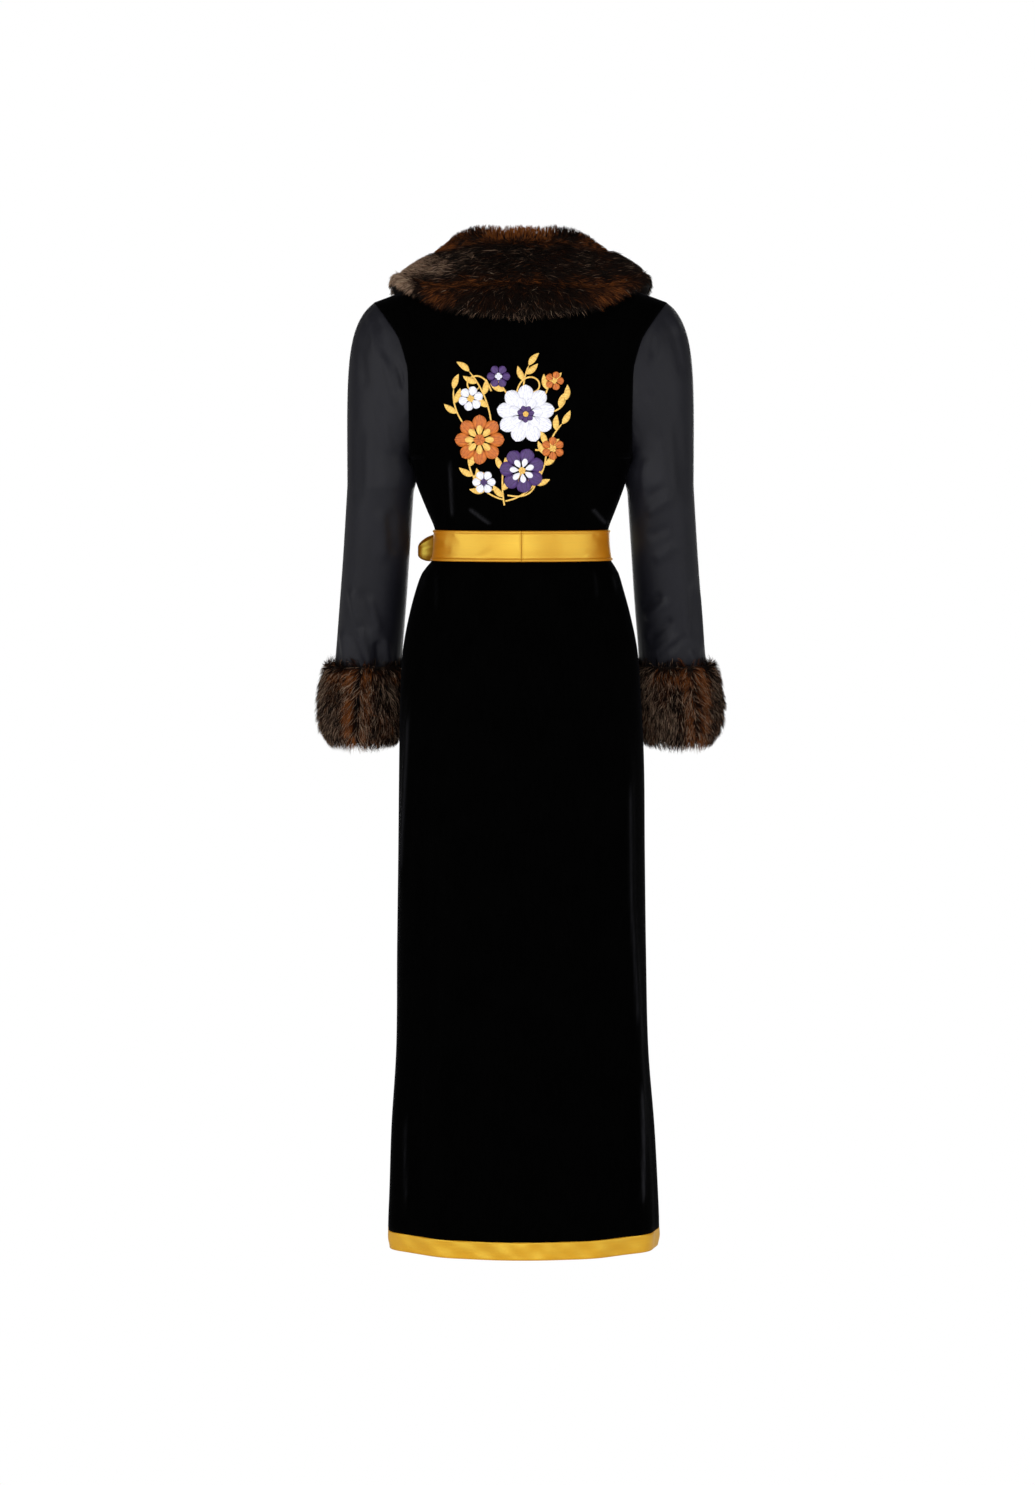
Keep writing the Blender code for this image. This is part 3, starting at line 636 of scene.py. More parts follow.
def outward_normals(points):
    """The way a sheet's outside faces, from its rows and columns of points."""
    across = np.gradient(points, axis=1)
    along = np.gradient(points, axis=0)
    return unit(np.cross(across, along))


def set_threads(mesh, flat):
    """Gives a mesh the thread map that has these places at its vertices."""
    corners = np.empty(len(mesh.loops), dtype=np.int32)
    mesh.loops.foreach_get("vertex_index", corners)
    layer = mesh.uv_layers.new(name="Threads")
    layer.uv.foreach_set("vector", flat[corners].astype(np.float32).ravel())


def distances(points, axis):
    """How far along a sheet its rows (axis 0) or its columns (axis 1) lie."""
    steps = np.linalg.norm(np.diff(points, axis=axis), axis=-1).mean(axis=1 - axis)
    return np.concatenate(([0], np.cumsum(steps)))


def thread_map(mesh, points, lengthwise):
    """A map of the cloth's own threads in metres, across and along the length of its cut."""
    flat = np.stack(np.meshgrid(distances(points, 1), distances(points, 0)), axis=-1).reshape(-1, 2)
    if lengthwise == "columns":
        flat = flat[:, ::-1]
    set_threads(mesh, flat)


def add_object(name, data):
    added = bpy.data.objects.new(name, data)
    bpy.context.scene.collection.objects.link(added)
    return added


def smooth_mesh(shape, name):
    """A mesh from a bmesh that is then done with, shaded smooth."""
    for face in shape.faces:
        face.smooth = True
    mesh = bpy.data.meshes.new(name)
    shape.to_mesh(mesh)
    shape.free()
    return mesh


def new_piece(name, mesh, finish):
    piece = add_object(name, mesh)
    mesh.materials.append(finish.material)
    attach(piece, "root")
    return piece


def add_wall(piece, wall, side):
    """Gives a sheet its thickness, inside (-1), on both sides (0) or outside (1) of it."""
    solidify = piece.modifiers.new("wall", "SOLIDIFY")
    solidify.thickness = wall
    solidify.offset = side
    return solidify


def cloth_piece(name, points, wall, finish, slot, side=-1, tube=False, lengthwise="rows", fullness=None):
    """A sheet of cloth through rows and columns of points. Fullness gives the share of the wall at each
    point where that varies."""
    rows, columns = points.shape[0] - 1, points.shape[1] - 1
    sheet = bmesh.new()
    bmesh.ops.create_grid(sheet, x_segments=columns, y_segments=rows, size=0.5)
    mesh = smooth_mesh(sheet, name)
    mesh.vertices.foreach_set("co", points.astype(np.float32).ravel())
    mesh.update()
    thread_map(mesh, points, lengthwise)
    if tube:
        joined = bmesh.new()
        joined.from_mesh(mesh)
        bmesh.ops.remove_doubles(joined, verts=joined.verts, dist=MERGE_DISTANCE)
        joined.to_mesh(mesh)
        joined.free()
    piece = new_piece(name, mesh, finish)
    solidify = add_wall(piece, wall, side)
    solidify.use_even_offset = fullness is None
    if fullness is not None:
        group = piece.vertex_groups.new(name="fullness")
        for number, share in enumerate(fullness.ravel()):
            group.add([number], share, "REPLACE")
        solidify.vertex_group = group.name
    return piece


def add_sheet(node, points, wall, finish, slot, flat, held, rests_on, area=None, **form):
    """A piece of cloth in place of a CAD node, which it hides. The cut of what shows of it is given but not
    used.
    """
    piece = cloth_piece(f"{node}_cloth", points, wall, finish, slot, **form)
    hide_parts(node)
    return piece


class Value:
    """A number that a finish works out at each point, held as a node's socket. Sums on it add Math nodes."""

    def __init__(self, finish, socket):
        self.finish = finish
        self.socket = socket

    def sum_of(self, operation, first, second):
        return self.finish.node("ShaderNodeMath", {"operation": operation}, {0: first, 1: second})

    def __add__(self, other):
        return self.sum_of("ADD", self, other)

    def __radd__(self, other):
        return self.sum_of("ADD", other, self)

    def __sub__(self, other):
        return self.sum_of("SUBTRACT", self, other)

    def __rsub__(self, other):
        return self.sum_of("SUBTRACT", other, self)

    def __mul__(self, other):
        return self.sum_of("MULTIPLY", self, other)

    def __rmul__(self, other):
        return self.sum_of("MULTIPLY", other, self)


class Finish:
    """A material with one main shader, whose constants are set on the shader's own sockets."""

    def __init__(self, name, constants):
        self.material = bpy.data.materials.new(name)
        self.material.use_nodes = True
        self.tree = self.material.node_tree
        self.shader = self.tree.nodes["Principled BSDF"]
        for socket, value in constants.items():
            self.shader.inputs[socket].default_value = value

    def node(self, kind, settings=None, inputs=None, output=0):
        """Adds a node: its settings first, then the values or links of its sockets."""
        added = self.tree.nodes.new(kind)
        for setting, value in (settings or {}).items():
            if setting == "stops":
                self.set_stops(added.color_ramp, value)
            else:
                setattr(added, setting, value)
        for socket, value in (inputs or {}).items():
            if isinstance(value, Value):
                self.tree.links.new(value.socket, added.inputs[socket])
            else:
                added.inputs[socket].default_value = value
        return Value(self, added.outputs[output])

    def set_stops(self, ramp, stops):
        while len(ramp.elements) < len(stops):
            ramp.elements.new(1.0)
        for element, (place, colour) in zip(ramp.elements, stops):
            element.position = place
            element.color = colour

    def feed(self, socket, value):
        self.tree.links.new(value.socket, self.shader.inputs[socket])

    def noise(self, across, along, detail):
        """Soft noise on the cloth's own threads, with so many spots a metre across and along them."""
        place = self.node("ShaderNodeUVMap", {"uv_map": "Threads"})
        scaled = self.node("ShaderNodeMapping", {}, {"Vector": place, "Scale": (across, along, 1.0)})
        return self.node("ShaderNodeTexNoise", {}, {"Vector": scaled, "Scale": 1.0, "Detail": detail})

    def ramp(self, value, *stops):
        return self.node("ShaderNodeValToRGB", {"stops": stops}, {"Fac": value})

    def mix(self, blend, share, first, second):
        """Two colours blended by a share."""
        settings = {"data_type": "RGBA", "blend_type": blend}
        return self.node("ShaderNodeMix", settings, {0: share, 6: first, 7: second}, 2)

    def bump(self, height, distance):
        sockets = {"Height": height, "Distance": distance, "Strength": 1.0}
        self.feed("Normal", self.node("ShaderNodeBump", {}, sockets))


def colour(red, green, blue):
    """A screen colour, each part out of 255, as the shader's linear light."""

    def linear(part):
        part = part / 255
        return part / 12.92 if part <= 0.04045 else ((part + 0.055) / 1.055) ** 2.4

    return (linear(red), linear(green), linear(blue), 1.0)


# Painted highlight: the paler pile colour laid along fold tops where they would catch the light
PAINTED_CREST_SHEEN = colour(54, 54, 58)
GOLD_GLOSS = {"IOR": 2.2, "Specular IOR Level": 0.75, "Specular Tint": (1.0, 0.92, 0.16, 1)}
# Hair colours from red-brown over dark brown, brown-black, olive and grey-brown to pale strands
HAIR_TONES = (
    (0.00, colour(130, 74, 33)),
    (0.20, colour(42, 22, 11)),
    (0.40, colour(7, 5, 4)),
    (0.60, colour(22, 17, 12)),
    (0.80, colour(150, 121, 100)),
    (1.00, colour(196, 178, 152)),
)
# Painted shade along each hair: how much of its colour it shows from root to tip, darker towards the root
# where shade falls deep in the pile
PAINTED_ROOT_SHADE = ((0.0, (0.22, 0.18, 0.16, 1)), (0.55, (0.75, 0.72, 0.70, 1)), (1.0, (1, 1, 1, 1)))


def velvet_finish():
    """Black pile, brushed along the cloth, with a painted highlight of paler pile colour along the tops of
    folds.
    """
    finish = Finish("black_velvet", {
        "Specular IOR Level": 0.01,
        "Sheen Weight": 0.06,
        "Sheen Roughness": 0.25,
        "Sheen Tint": colour(118, 118, 128),
    })
    nap = finish.noise(22, 16, 5.0)
    brushed = finish.noise(260, 40, 3.0)
    pile = finish.noise(1500, 1500, 1.0)
    shade = nap * 0.5 + brushed * 0.3 + pile * 0.2
    deep = finish.ramp(shade, (0.32, colour(0, 0, 0)), (0.70, colour(2, 2, 2)))
    crest = finish.node("ShaderNodeAttribute", {"attribute_name": "crest"}, {}, "Fac")
    # Painted highlight: the base colour turns paler along the fold tops
    finish.feed("Base Color", finish.mix("MIX", crest * (brushed + 0.3), deep, PAINTED_CREST_SHEEN))
    finish.feed("Roughness", 0.80 + nap * 0.15)
    finish.bump(pile * 0.6 + brushed * 0.4, 0.0006)
    return finish


def satin_finish(name, dark, light, rough, gloss):
    """Satin with fine threads along its length, a few thicker ones and soft clouds of shade."""
    finish = Finish(name, gloss)
    threads = finish.noise(2600, 120, 1.0)
    slubs = finish.noise(420, 16, 3.0)
    clouds = finish.noise(18, 11, 3.0)
    shade = threads * 0.25 + slubs * 0.25 + clouds * 0.5
    finish.feed("Base Color", finish.ramp(shade, (0.30, dark), (0.70, light)))
    finish.feed("Roughness", rough + slubs * 0.10)
    finish.bump(threads * 0.6 + slubs * 0.4, 0.0001)
    return finish


def thread_finish(name, dark, light):
    """Embroidery thread laid side by side, with painted light and shade from stitch to stitch where each
    would catch the light a little differently.
    """
    finish = Finish(name, {"Specular IOR Level": 0.35})
    stitches = finish.noise(700, 60, 2.0)
    strands = finish.noise(2600, 200, 1.0)
    rows = finish.noise(180, 180, 2.0)
    shade = stitches * 0.55 + strands * 0.20 + rows * 0.25
    # Painted light and shade: stitches run from the dark to the light colour
    finish.feed("Base Color", finish.ramp(shade, (0.34, dark), (0.62, light)))
    finish.feed("Roughness", 0.38 + rows * 0.2)
    finish.bump(stitches * 0.7 + strands * 0.3, 0.0005)
    return finish


def hair_finish():
    """Hair whose map runs over the tones across and from root to tip along."""
    finish = Finish("brown_fur", {"Specular IOR Level": 0.04})
    place = finish.node("ShaderNodeUVMap", {"uv_map": "OFBake"})
    tone = finish.node("ShaderNodeSeparateXYZ", {}, {0: place}, "X")
    along = finish.node("ShaderNodeSeparateXYZ", {}, {0: place}, "Y")
    tint = finish.ramp(tone, *HAIR_TONES)
    # Painted shade: each hair's colour is darkened towards its root
    finish.feed("Base Color", finish.mix("MULTIPLY", 1.0, tint, finish.ramp(along, *PAINTED_ROOT_SHADE)))
    finish.feed("Roughness", 0.70 - along * 0.18)
    return finish


def painted_shade_backing_finish():
    """Dark underfur and the knitted cloth that it grows from, coloured as the painted shade that shows deep
    between the hairs.
    """
    finish = Finish("fur_backing", {"Specular IOR Level": 0.15})
    knit = finish.noise(700, 700, 2.0)
    patches = finish.noise(40, 40, 3.0)
    shade = knit * 0.5 + patches * 0.5
    # Painted shade: the dark of the shade between hairs, as the backing's colour
    finish.feed("Base Color", finish.ramp(shade, (0.3, colour(8, 6, 4)), (0.7, colour(26, 17, 11))))
    finish.feed("Roughness", 0.85 + knit * 0.1)
    finish.bump(knit, 0.0005)
    return finish


velvet = velvet_finish()
dark_satin = satin_finish(
    "charcoal_satin", colour(15, 15, 20), colour(25, 25, 31), 0.45, {"Specular IOR Level": 0.15}
)
gold_satin = satin_finish("gold_satin", colour(168, 94, 2), colour(192, 114, 8), 0.35, GOLD_GLOSS)
# Painted light: a lighter, yellower copy of the gold satin for the hem band, since the low hem gets less
# light than the sash
hem_satin_painted_lighter = satin_finish("gold_satin_painted_lighter", colour(180, 116, 1), colour(206, 138, 6), 0.35, GOLD_GLOSS)
thread_finishes = {
    "gold": thread_finish("gold_thread", colour(190, 132, 36), colour(250, 212, 116)),
    "purple": thread_finish("purple_thread", colour(34, 18, 54), colour(86, 56, 122)),
    "white": thread_finish("white_thread", colour(186, 186, 206), colour(250, 250, 254)),
    "russet": thread_finish("russet_thread", colour(120, 44, 8), colour(222, 124, 44)),
}
hair = hair_finish()
backing = painted_shade_backing_finish()

SIDES = {"right": 1, "left": -1}

# Rows and columns of the cloth, with the panels' rows by height from the underarm and closest above the sash
Rows = namedtuple("Rows", "start end count")
PANEL_ROWS = (
    Rows(HEM_SEAM - UNDERARM, -0.270, 56),
    Rows(-0.270, -0.115, 18),
    Rows(-0.115, -0.055, 30),
    Rows(-0.055, 0, 8),
)
YOKE_ROWS = 36
BAND_ROWS = 10
BAND_LEVELS = np.linspace(HEM, HEM_SEAM + SEAM_LAP, BAND_ROWS + 1) - UNDERARM
PANEL_LEVELS = np.concatenate(
    [np.linspace(*rows, endpoint=False) for rows in PANEL_ROWS] + [np.linspace(0, 1, YOKE_ROWS + 1)]
)
BACK_COLUMNS = 126
FRONT_COLUMNS = 84
SLEEVE_COLUMNS = 84
CAP_ROWS = 44
ARM_ROWS = 84

# Flat sizes of what shows of the panels, the hem band and the sleeves, with areas where they aren't oblongs
BACK_WIDTH = 0.53
FRONT_WIDTH = 0.37
FRONT_AREA = 0.375
PANEL_LENGTH = 1.36
HEM_BAND_WIDTH = 0.0244
SLEEVE_FLAT = (0.36, 0.62)
SLEEVE_AREA = 0.176

# Where folds die out: by the side seams in degrees, by the sash and under the collar in metres
FOLD_SIDE_ANGLE = 14
FOLD_SASH_REACH = 0.014
FOLD_COLLAR_HEIGHT = -0.075
FOLD_COLLAR_REACH = 0.03

# Puckers of the hem band: a wave that wanders along it and a longer one, both on a slant
HEM_PUCKER_HEIGHT = 0.0009
HEM_PUCKER_LENGTH = 0.0065
HEM_PUCKER_SLANT = 2.2
HEM_WANDER = 2
HEM_WANDER_LENGTH = 7
HEM_SECOND_SHARE = 0.7
HEM_SECOND_LENGTH = 1.7
HEM_SECOND_SLANT = -1.6

# Sleeves: puckers round both ends, flat at the armhole, full under the arm, the left one's front folds lower
Waves = namedtuple("Waves", "count height start")
SLEEVE_PUCKERS = (Waves(31, 0.0009, 0.0), Waves(19, 0.00054, 1.3))
PUCKER_REACH = 0.016
ARMHOLE_FLAT = 0.010
SLEEVE_FOLD_DROP = 0.017
UNDERARM_FULLNESS = 0.0048
UNDERARM_FULLEST = -0.282
UNDERARM_SPREAD = 0.030


def calm_places(points, angle):
    """1 where folds may stand, falling to 0 at the side seams, under the sash and under the collar."""
    height = points[..., 2]
    off_sash = np.maximum(SASH_BOTTOM - height, height - SASH_TOP)
    calm = ease((90 - np.abs(angle)) / FOLD_SIDE_ANGLE)
    calm = calm * ease_past(off_sash, LAY_GAP, FOLD_SASH_REACH)
    return calm * ease((FOLD_COLLAR_HEIGHT - height) / FOLD_COLLAR_REACH)


def lap_side_seam(points, levels, column, facing, side):
    """Moves a panel's side edge half of the lap over its seam."""
    low = levels < 0
    points[low, column, 1] -= facing * SEAM_LAP / 2
    points[~low, column, 0] += side * SEAM_LAP / 2


def back_points(levels):
    """The back's rows, and the painted sheen along its fold tops."""
    angle, level = np.meshgrid(np.linspace(-90, 90, BACK_COLUMNS + 1), levels)
    points = body_points(angle, level, -1)
    normals = outward_normals(points)
    calm = calm_places(points, angle)
    crest_sheen = painted_crest_sheen(points, BACK_FOLDS) * calm
    points = points + normals * (fold_relief(points, normals, BACK_FOLDS, -1) * calm)[..., None]
    lap_side_seam(points, levels, 0, -1, -1)
    lap_side_seam(points, levels, -1, -1, 1)
    return points, crest_sheen


def front_sheet_points(levels, side):
    """One front's rows, with its columns ordered so that its outside faces forward, and the painted sheen
    along its fold tops.
    """
    share, level = np.meshgrid(np.linspace(0, 1, FRONT_COLUMNS + 1), levels)
    angle = between(90, front_edge_angle(level), share)
    points = front_points(angle, level, side)
    if side < 0:
        points = points[:, ::-1]
        angle = angle[:, ::-1]
    normals = outward_normals(points)
    calm = calm_places(points, angle)
    crest_sheen = painted_crest_sheen(points, FRONT_FOLDS) * calm
    points = points + normals * (fold_relief(points, normals, FRONT_FOLDS, 1) * calm)[..., None]
    lap_side_seam(points, levels, 0 if side > 0 else -1, 1, side)
    return points, crest_sheen


def puckered(points):
    """A hem band with soft, uneven puckers between its seam and its folded edge."""
    along = distances(points, 1) / HEM_PUCKER_LENGTH
    up = np.linspace(0, 1, len(points))[:, None]
    wander = HEM_WANDER * np.sin(along / HEM_WANDER_LENGTH)
    waves = np.sin(along + HEM_PUCKER_SLANT * up + wander)
    waves = waves + HEM_SECOND_SHARE * np.sin(along / HEM_SECOND_LENGTH + HEM_SECOND_SLANT * up)
    relief = HEM_PUCKER_HEIGHT * waves * np.sin(np.pi * up)
    return points + outward_normals(points) * relief[..., None]


def mirrored_folds(placed, drop):
    """The same folds for the other sleeve, lower by the drop."""
    return [fold._replace(line=fold.line * (-1, 1) - (0, drop)) for fold in placed]


def sleeve_points(side):
    """A sleeve from its armhole seam down to the cuff, with its columns round the arm."""
    turns = np.linspace(0, 1, SLEEVE_COLUMNS + 1)
    turn, share = np.meshgrid(turns, np.linspace(0, 1, CAP_ROWS, endpoint=False))
    cap = sleeve_cap_points(turn % 1, share)
    turn, height = np.meshgrid(turns, np.linspace(SLEEVE_TOP, SLEEVE_END, ARM_ROWS + 1))
    arm = sleeve_ring_points(turn, height)
    points = np.concatenate((cap, arm))
    if side < 0:
        points = points[:, ::-1] * (-1, 1, 1)
    normals = outward_normals(points)
    ends = unit(normals[:, 0] + normals[:, -1])
    normals[:, 0] = ends
    normals[:, -1] = ends
    back_folds = SLEEVE_BACK_FOLDS_RIGHT if side > 0 else SLEEVE_BACK_FOLDS_LEFT
    front_folds = SLEEVE_FRONT_FOLDS if side > 0 else mirrored_folds(SLEEVE_FRONT_FOLDS, SLEEVE_FOLD_DROP)
    relief = fold_relief(points, normals, back_folds, -1) + fold_relief(points, normals, front_folds, 1)
    from_armhole = distances(points, 0)[:, None]
    from_cuff = np.abs(points[..., 2] - CUFF_BOTTOM - CUFF_BACKING[1].rise)
    near = np.exp(-from_armhole / PUCKER_REACH) * ease(from_armhole / PUCKER_REACH * 2)
    near = near + np.exp(-from_cuff / PUCKER_REACH)
    for waves in SLEEVE_PUCKERS:
        relief = relief + waves.height * np.sin(2 * np.pi * waves.count * turns + waves.start) * near
    relief = relief * ease(from_armhole / ARMHOLE_FLAT)
    under_arm = ease(-side * normals[..., 0]) * bump_at(points[..., 2], UNDERARM_FULLEST, UNDERARM_SPREAD)
    return points + normals * (relief + UNDERARM_FULLNESS * under_arm)[..., None]


def add_hem(word, points, width, panel):
    """A length of the hem band below its panel."""
    add_sheet(
        f"hem_{word}", puckered(points), BAND_WALL, hem_satin_painted_lighter, "gold_satin",
        flat=(width, HEM_BAND_WIDTH), held="hung", rests_on=[panel], lengthwise="columns",
    )


points, crest_sheen = back_points(PANEL_LEVELS)
back_cloth = cloth_piece("back_panel_cloth", points, VELVET_WALL, velvet, "velvet")
mark_painted_sheen(back_cloth, crest_sheen)
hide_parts("back_panel")
add_hem("back", back_points(BAND_LEVELS)[0], BACK_WIDTH, "back_panel")
for word, side in SIDES.items():
    points, crest_sheen = front_sheet_points(PANEL_LEVELS, side)
    front_cloth = add_sheet(
        f"front_{word}", points, VELVET_WALL, velvet, "velvet",
        flat=(FRONT_WIDTH, PANEL_LENGTH), area=FRONT_AREA, held="hung", rests_on=["back_panel"],
    )
    mark_painted_sheen(front_cloth, crest_sheen)
    add_hem(word, front_sheet_points(BAND_LEVELS, side)[0], FRONT_WIDTH, f"front_{word}")
    add_sheet(
        f"sleeve_{word}", sleeve_points(side), SATIN_WALL, dark_satin, "dark_satin",
        flat=SLEEVE_FLAT, area=SLEEVE_AREA, held="hung", rests_on=["back_panel", f"front_{word}"], tube=True,
    )

# Fur: hairs are narrow ribbons that rise from the backing, lie along the pile and meet in small tufts
HAIR_STEPS = np.array((0.0, 0.5, 1.0))
HAIR_TAPER = np.array((1.0, 0.8))
HAIR_CORNERS = np.array(((0, 2, 3), (0, 3, 1), (1, 3, 4)))
HAIR_WIDTH = 0.0007
HAIR_WIDTH_RANGE = (0.7, 1.3)
HAIR_BEND = 1.3
HAIRS_IN_TUFT = 12
TUFT_PULL = 0.28
LEAST_LEAN = 0.05
TONE_WIDTH = 0.012
PALE_TONES = (0.70, 0.90)
# Painted shade: hair turns a near-black tone where the pile parts at the seams
PARTING_SHADE_TONE = 0.38
PARTING_LENGTH = 0.5
# How far tufts, and the hairs in them, stray from the pile: turn and roll in radians, the rest as shares
Stray = namedtuple("Stray", "tuft hair")
TWIST_STRAY = Stray(0.26, 0.20)
ROLL_STRAY = Stray(0.0, 0.6)
TONE_STRAY = Stray(0.05, 0.10)
LENGTH_STRAY = Stray(0.10, 0.10)
LENGTH_RANGE = (0.6, 1.25)
RISE_STRAY = Stray(0.16, 0.08)
RISE_MIDDLE = 0.88
RISE_RANGE = (0.5, 1.10)
# The pile at places: lean, the height that hair may reach, length, tone, share of pale hairs and tips' droop
Pile = namedtuple("Pile", "lean_across lean_along height length tone pale droop")


def sample(grid, across, along):
    """A grid's values between its rows and columns, at shares across and along it."""
    rows, columns = grid.shape[0] - 1, grid.shape[1] - 1
    i = np.minimum((along * rows).astype(int), rows - 1)
    j = np.minimum((across * columns).astype(int), columns - 1)
    down = (along * rows - i)[..., None]
    right = (across * columns - j)[..., None]
    first = between(grid[i, j], grid[i, j + 1], right)
    second = between(grid[i + 1, j], grid[i + 1, j + 1], right)
    return between(first, second, down)


def scatter(points, count, draw):
    """Places spread evenly over a sheet, as shares across and along it."""
    across = np.diff(points, axis=1)[:-1]
    along = np.diff(points, axis=0)[:, :-1]
    areas = np.linalg.norm(np.cross(across, along), axis=-1)
    cells = draw.choice(areas.size, count, p=(areas / areas.sum()).ravel())
    row, column = np.divmod(cells, areas.shape[1])
    return (column + draw.random(count)) / areas.shape[1], (row + draw.random(count)) / areas.shape[0]


def nearest_tufts(roots, tuft_roots):
    tree = KDTree(len(tuft_roots))
    for number, root in enumerate(tuft_roots):
        tree.insert(root, number)
    tree.balance()
    return np.array([tree.find(root)[1] for root in roots])


def hair_mesh(name, paths, side, tone):
    """A ribbon along each path, with the hair's tone and the way from root to tip in its map."""
    ribbons = np.concatenate((paths[:, :2] - side, paths[:, :2] + side, paths[:, 2:]), axis=1)
    faces = HAIR_CORNERS[None] + ribbons.shape[1] * np.arange(len(ribbons))[:, None, None]
    mesh = bpy.data.meshes.new(name)
    mesh.from_pydata(ribbons.reshape(-1, 3), [], faces.reshape(-1, 3))
    mesh.polygons.foreach_set("use_smooth", np.ones(len(mesh.polygons), dtype=bool))
    shift = np.array((-1, -1, 1, 1, 0)) * TONE_WIDTH / 2
    reached = np.concatenate((HAIR_STEPS[:2], HAIR_STEPS[:2], HAIR_STEPS[2:]))
    flat = np.stack(np.broadcast_arrays(tone[:, None] + shift, reached), axis=-1)
    layer = mesh.uv_layers.new(name="OFBake")
    layer.uv.foreach_set("vector", flat[:, HAIR_CORNERS].astype(np.float32).ravel())
    return mesh


def fur_piece(name, points, count, seed, pile_at):
    """Hair all over a backing, by the pile at each place on it."""
    draw = np.random.default_rng(seed)
    across, along = scatter(points, count, draw)
    roots = sample(points, across, along)
    tuft_roots = sample(points, *scatter(points, count // HAIRS_IN_TUFT, draw))
    tuft = nearest_tufts(roots, tuft_roots)

    def drawn(stray):
        return draw.normal(0, stray.tuft, len(tuft_roots))[tuft] + draw.normal(0, stray.hair, count)

    pile = pile_at(across, along, roots)
    normals = unit(sample(outward_normals(points), across, along))
    lean = unit(sample(np.gradient(points, axis=1), across, along)) * pile.lean_across[:, None]
    lean = lean + unit(sample(np.gradient(points, axis=0), across, along)) * pile.lean_along[:, None]
    lean_size = np.linalg.norm(lean, axis=1)
    lean = lean / np.maximum(lean_size, LEAST_LEAN)[:, None]
    twist = drawn(TWIST_STRAY)[:, None]
    lean = lean * np.cos(twist) + np.cross(normals, lean) * np.sin(twist)
    forward = np.minimum(lean_size, 1) * pile.length * np.clip(1 + drawn(LENGTH_STRAY), *LENGTH_RANGE)
    rise = np.minimum(pile.height * np.clip(RISE_MIDDLE + drawn(RISE_STRAY), *RISE_RANGE), pile.length)
    gather = (tuft_roots[tuft] - roots) * TUFT_PULL
    step = HAIR_STEPS[None, :, None]
    paths = roots[:, None] + normals[:, None] * rise[:, None, None] * (1 - (1 - step) ** 2)
    paths = paths + lean[:, None] * forward[:, None, None] * step**HAIR_BEND + gather[:, None] * step**2
    paths[..., 2] -= pile.droop[:, None] * HAIR_STEPS**2
    roll = drawn(ROLL_STRAY)[:, None]
    side = unit(np.cross(lean, normals) * np.cos(roll) + normals * np.sin(roll))
    side = side * (HAIR_WIDTH / 2 * draw.uniform(*HAIR_WIDTH_RANGE, count))[:, None]
    side = side[:, None] * HAIR_TAPER[None, :, None]
    tone = pile.tone + drawn(TONE_STRAY)
    tone = np.where(draw.random(count) < pile.pale, draw.uniform(*PALE_TONES, count), tone)
    mesh = hair_mesh(name, paths, side, np.clip(tone, TONE_WIDTH, 1 - TONE_WIDTH))
    return new_piece(name, mesh, hair)


# Tones along each strip of the collar by x, and how much of the red-brown shows along its two edges
StripTone = namedtuple("StripTone", "x tone start_edge end_edge")
STRIP_TONES = {
    "collar_upper": (
        StripTone(-0.175, 0.10, 0.0, 0.3),
        StripTone(-0.140, 0.10, 0.0, 0.6),
        StripTone(-0.095, 0.14, 0.0, 0.8),
        StripTone(-0.065, 0.28, 0.0, 0.6),
        StripTone(-0.030, 0.05, 0.0, 0.8),
        StripTone(0.010, 0.00, 0.0, 0.9),
        StripTone(0.035, 0.08, 0.0, 0.8),
        StripTone(0.065, 0.46, 0.0, 0.5),
        StripTone(0.095, 0.16, 0.0, 0.6),
        StripTone(0.130, 0.32, 0.0, 0.2),
        StripTone(0.175, 0.37, 0.0, 0.0),
    ),
    "collar_middle": (
        StripTone(-0.190, 0.79, 0.0, 0.0),
        StripTone(-0.140, 0.72, 0.2, 0.2),
        StripTone(-0.105, 0.58, 0.9, 0.7),
        StripTone(-0.070, 0.52, 0.9, 0.8),
        StripTone(-0.040, 0.45, 0.8, 0.6),
        StripTone(0.000, 0.42, 0.7, 0.5),
        StripTone(0.060, 0.41, 0.7, 0.4),
        StripTone(0.100, 0.41, 0.6, 0.6),
        StripTone(0.135, 0.42, 0.2, 0.3),
        StripTone(0.175, 0.45, 0.0, 0.1),
    ),
    "collar_lower": (
        StripTone(-0.180, 0.79, 0.0, 0.0),
        StripTone(-0.150, 0.72, 0.1, 0.0),
        StripTone(-0.125, 0.25, 0.7, 0.0),
        StripTone(-0.090, 0.28, 0.9, 0.0),
        StripTone(-0.060, 0.34, 0.8, 0.0),
        StripTone(-0.030, 0.40, 0.6, 0.0),
        StripTone(0.040, 0.40, 0.5, 0.0),
        StripTone(0.080, 0.34, 0.7, 0.0),
        StripTone(0.110, 0.14, 0.9, 0.2),
        StripTone(0.145, 0.32, 0.5, 0.0),
        StripTone(0.175, 0.38, 0.1, 0.0),
    ),
}
EDGE_TONE = 0.05
EDGE_SHARE = 0.26
SPECKLE_TONE = 0.05
SPECKLE_SIZE = 0.011
SPECKLE_SLANT = 7
SPECKLE_SHIFT = 1

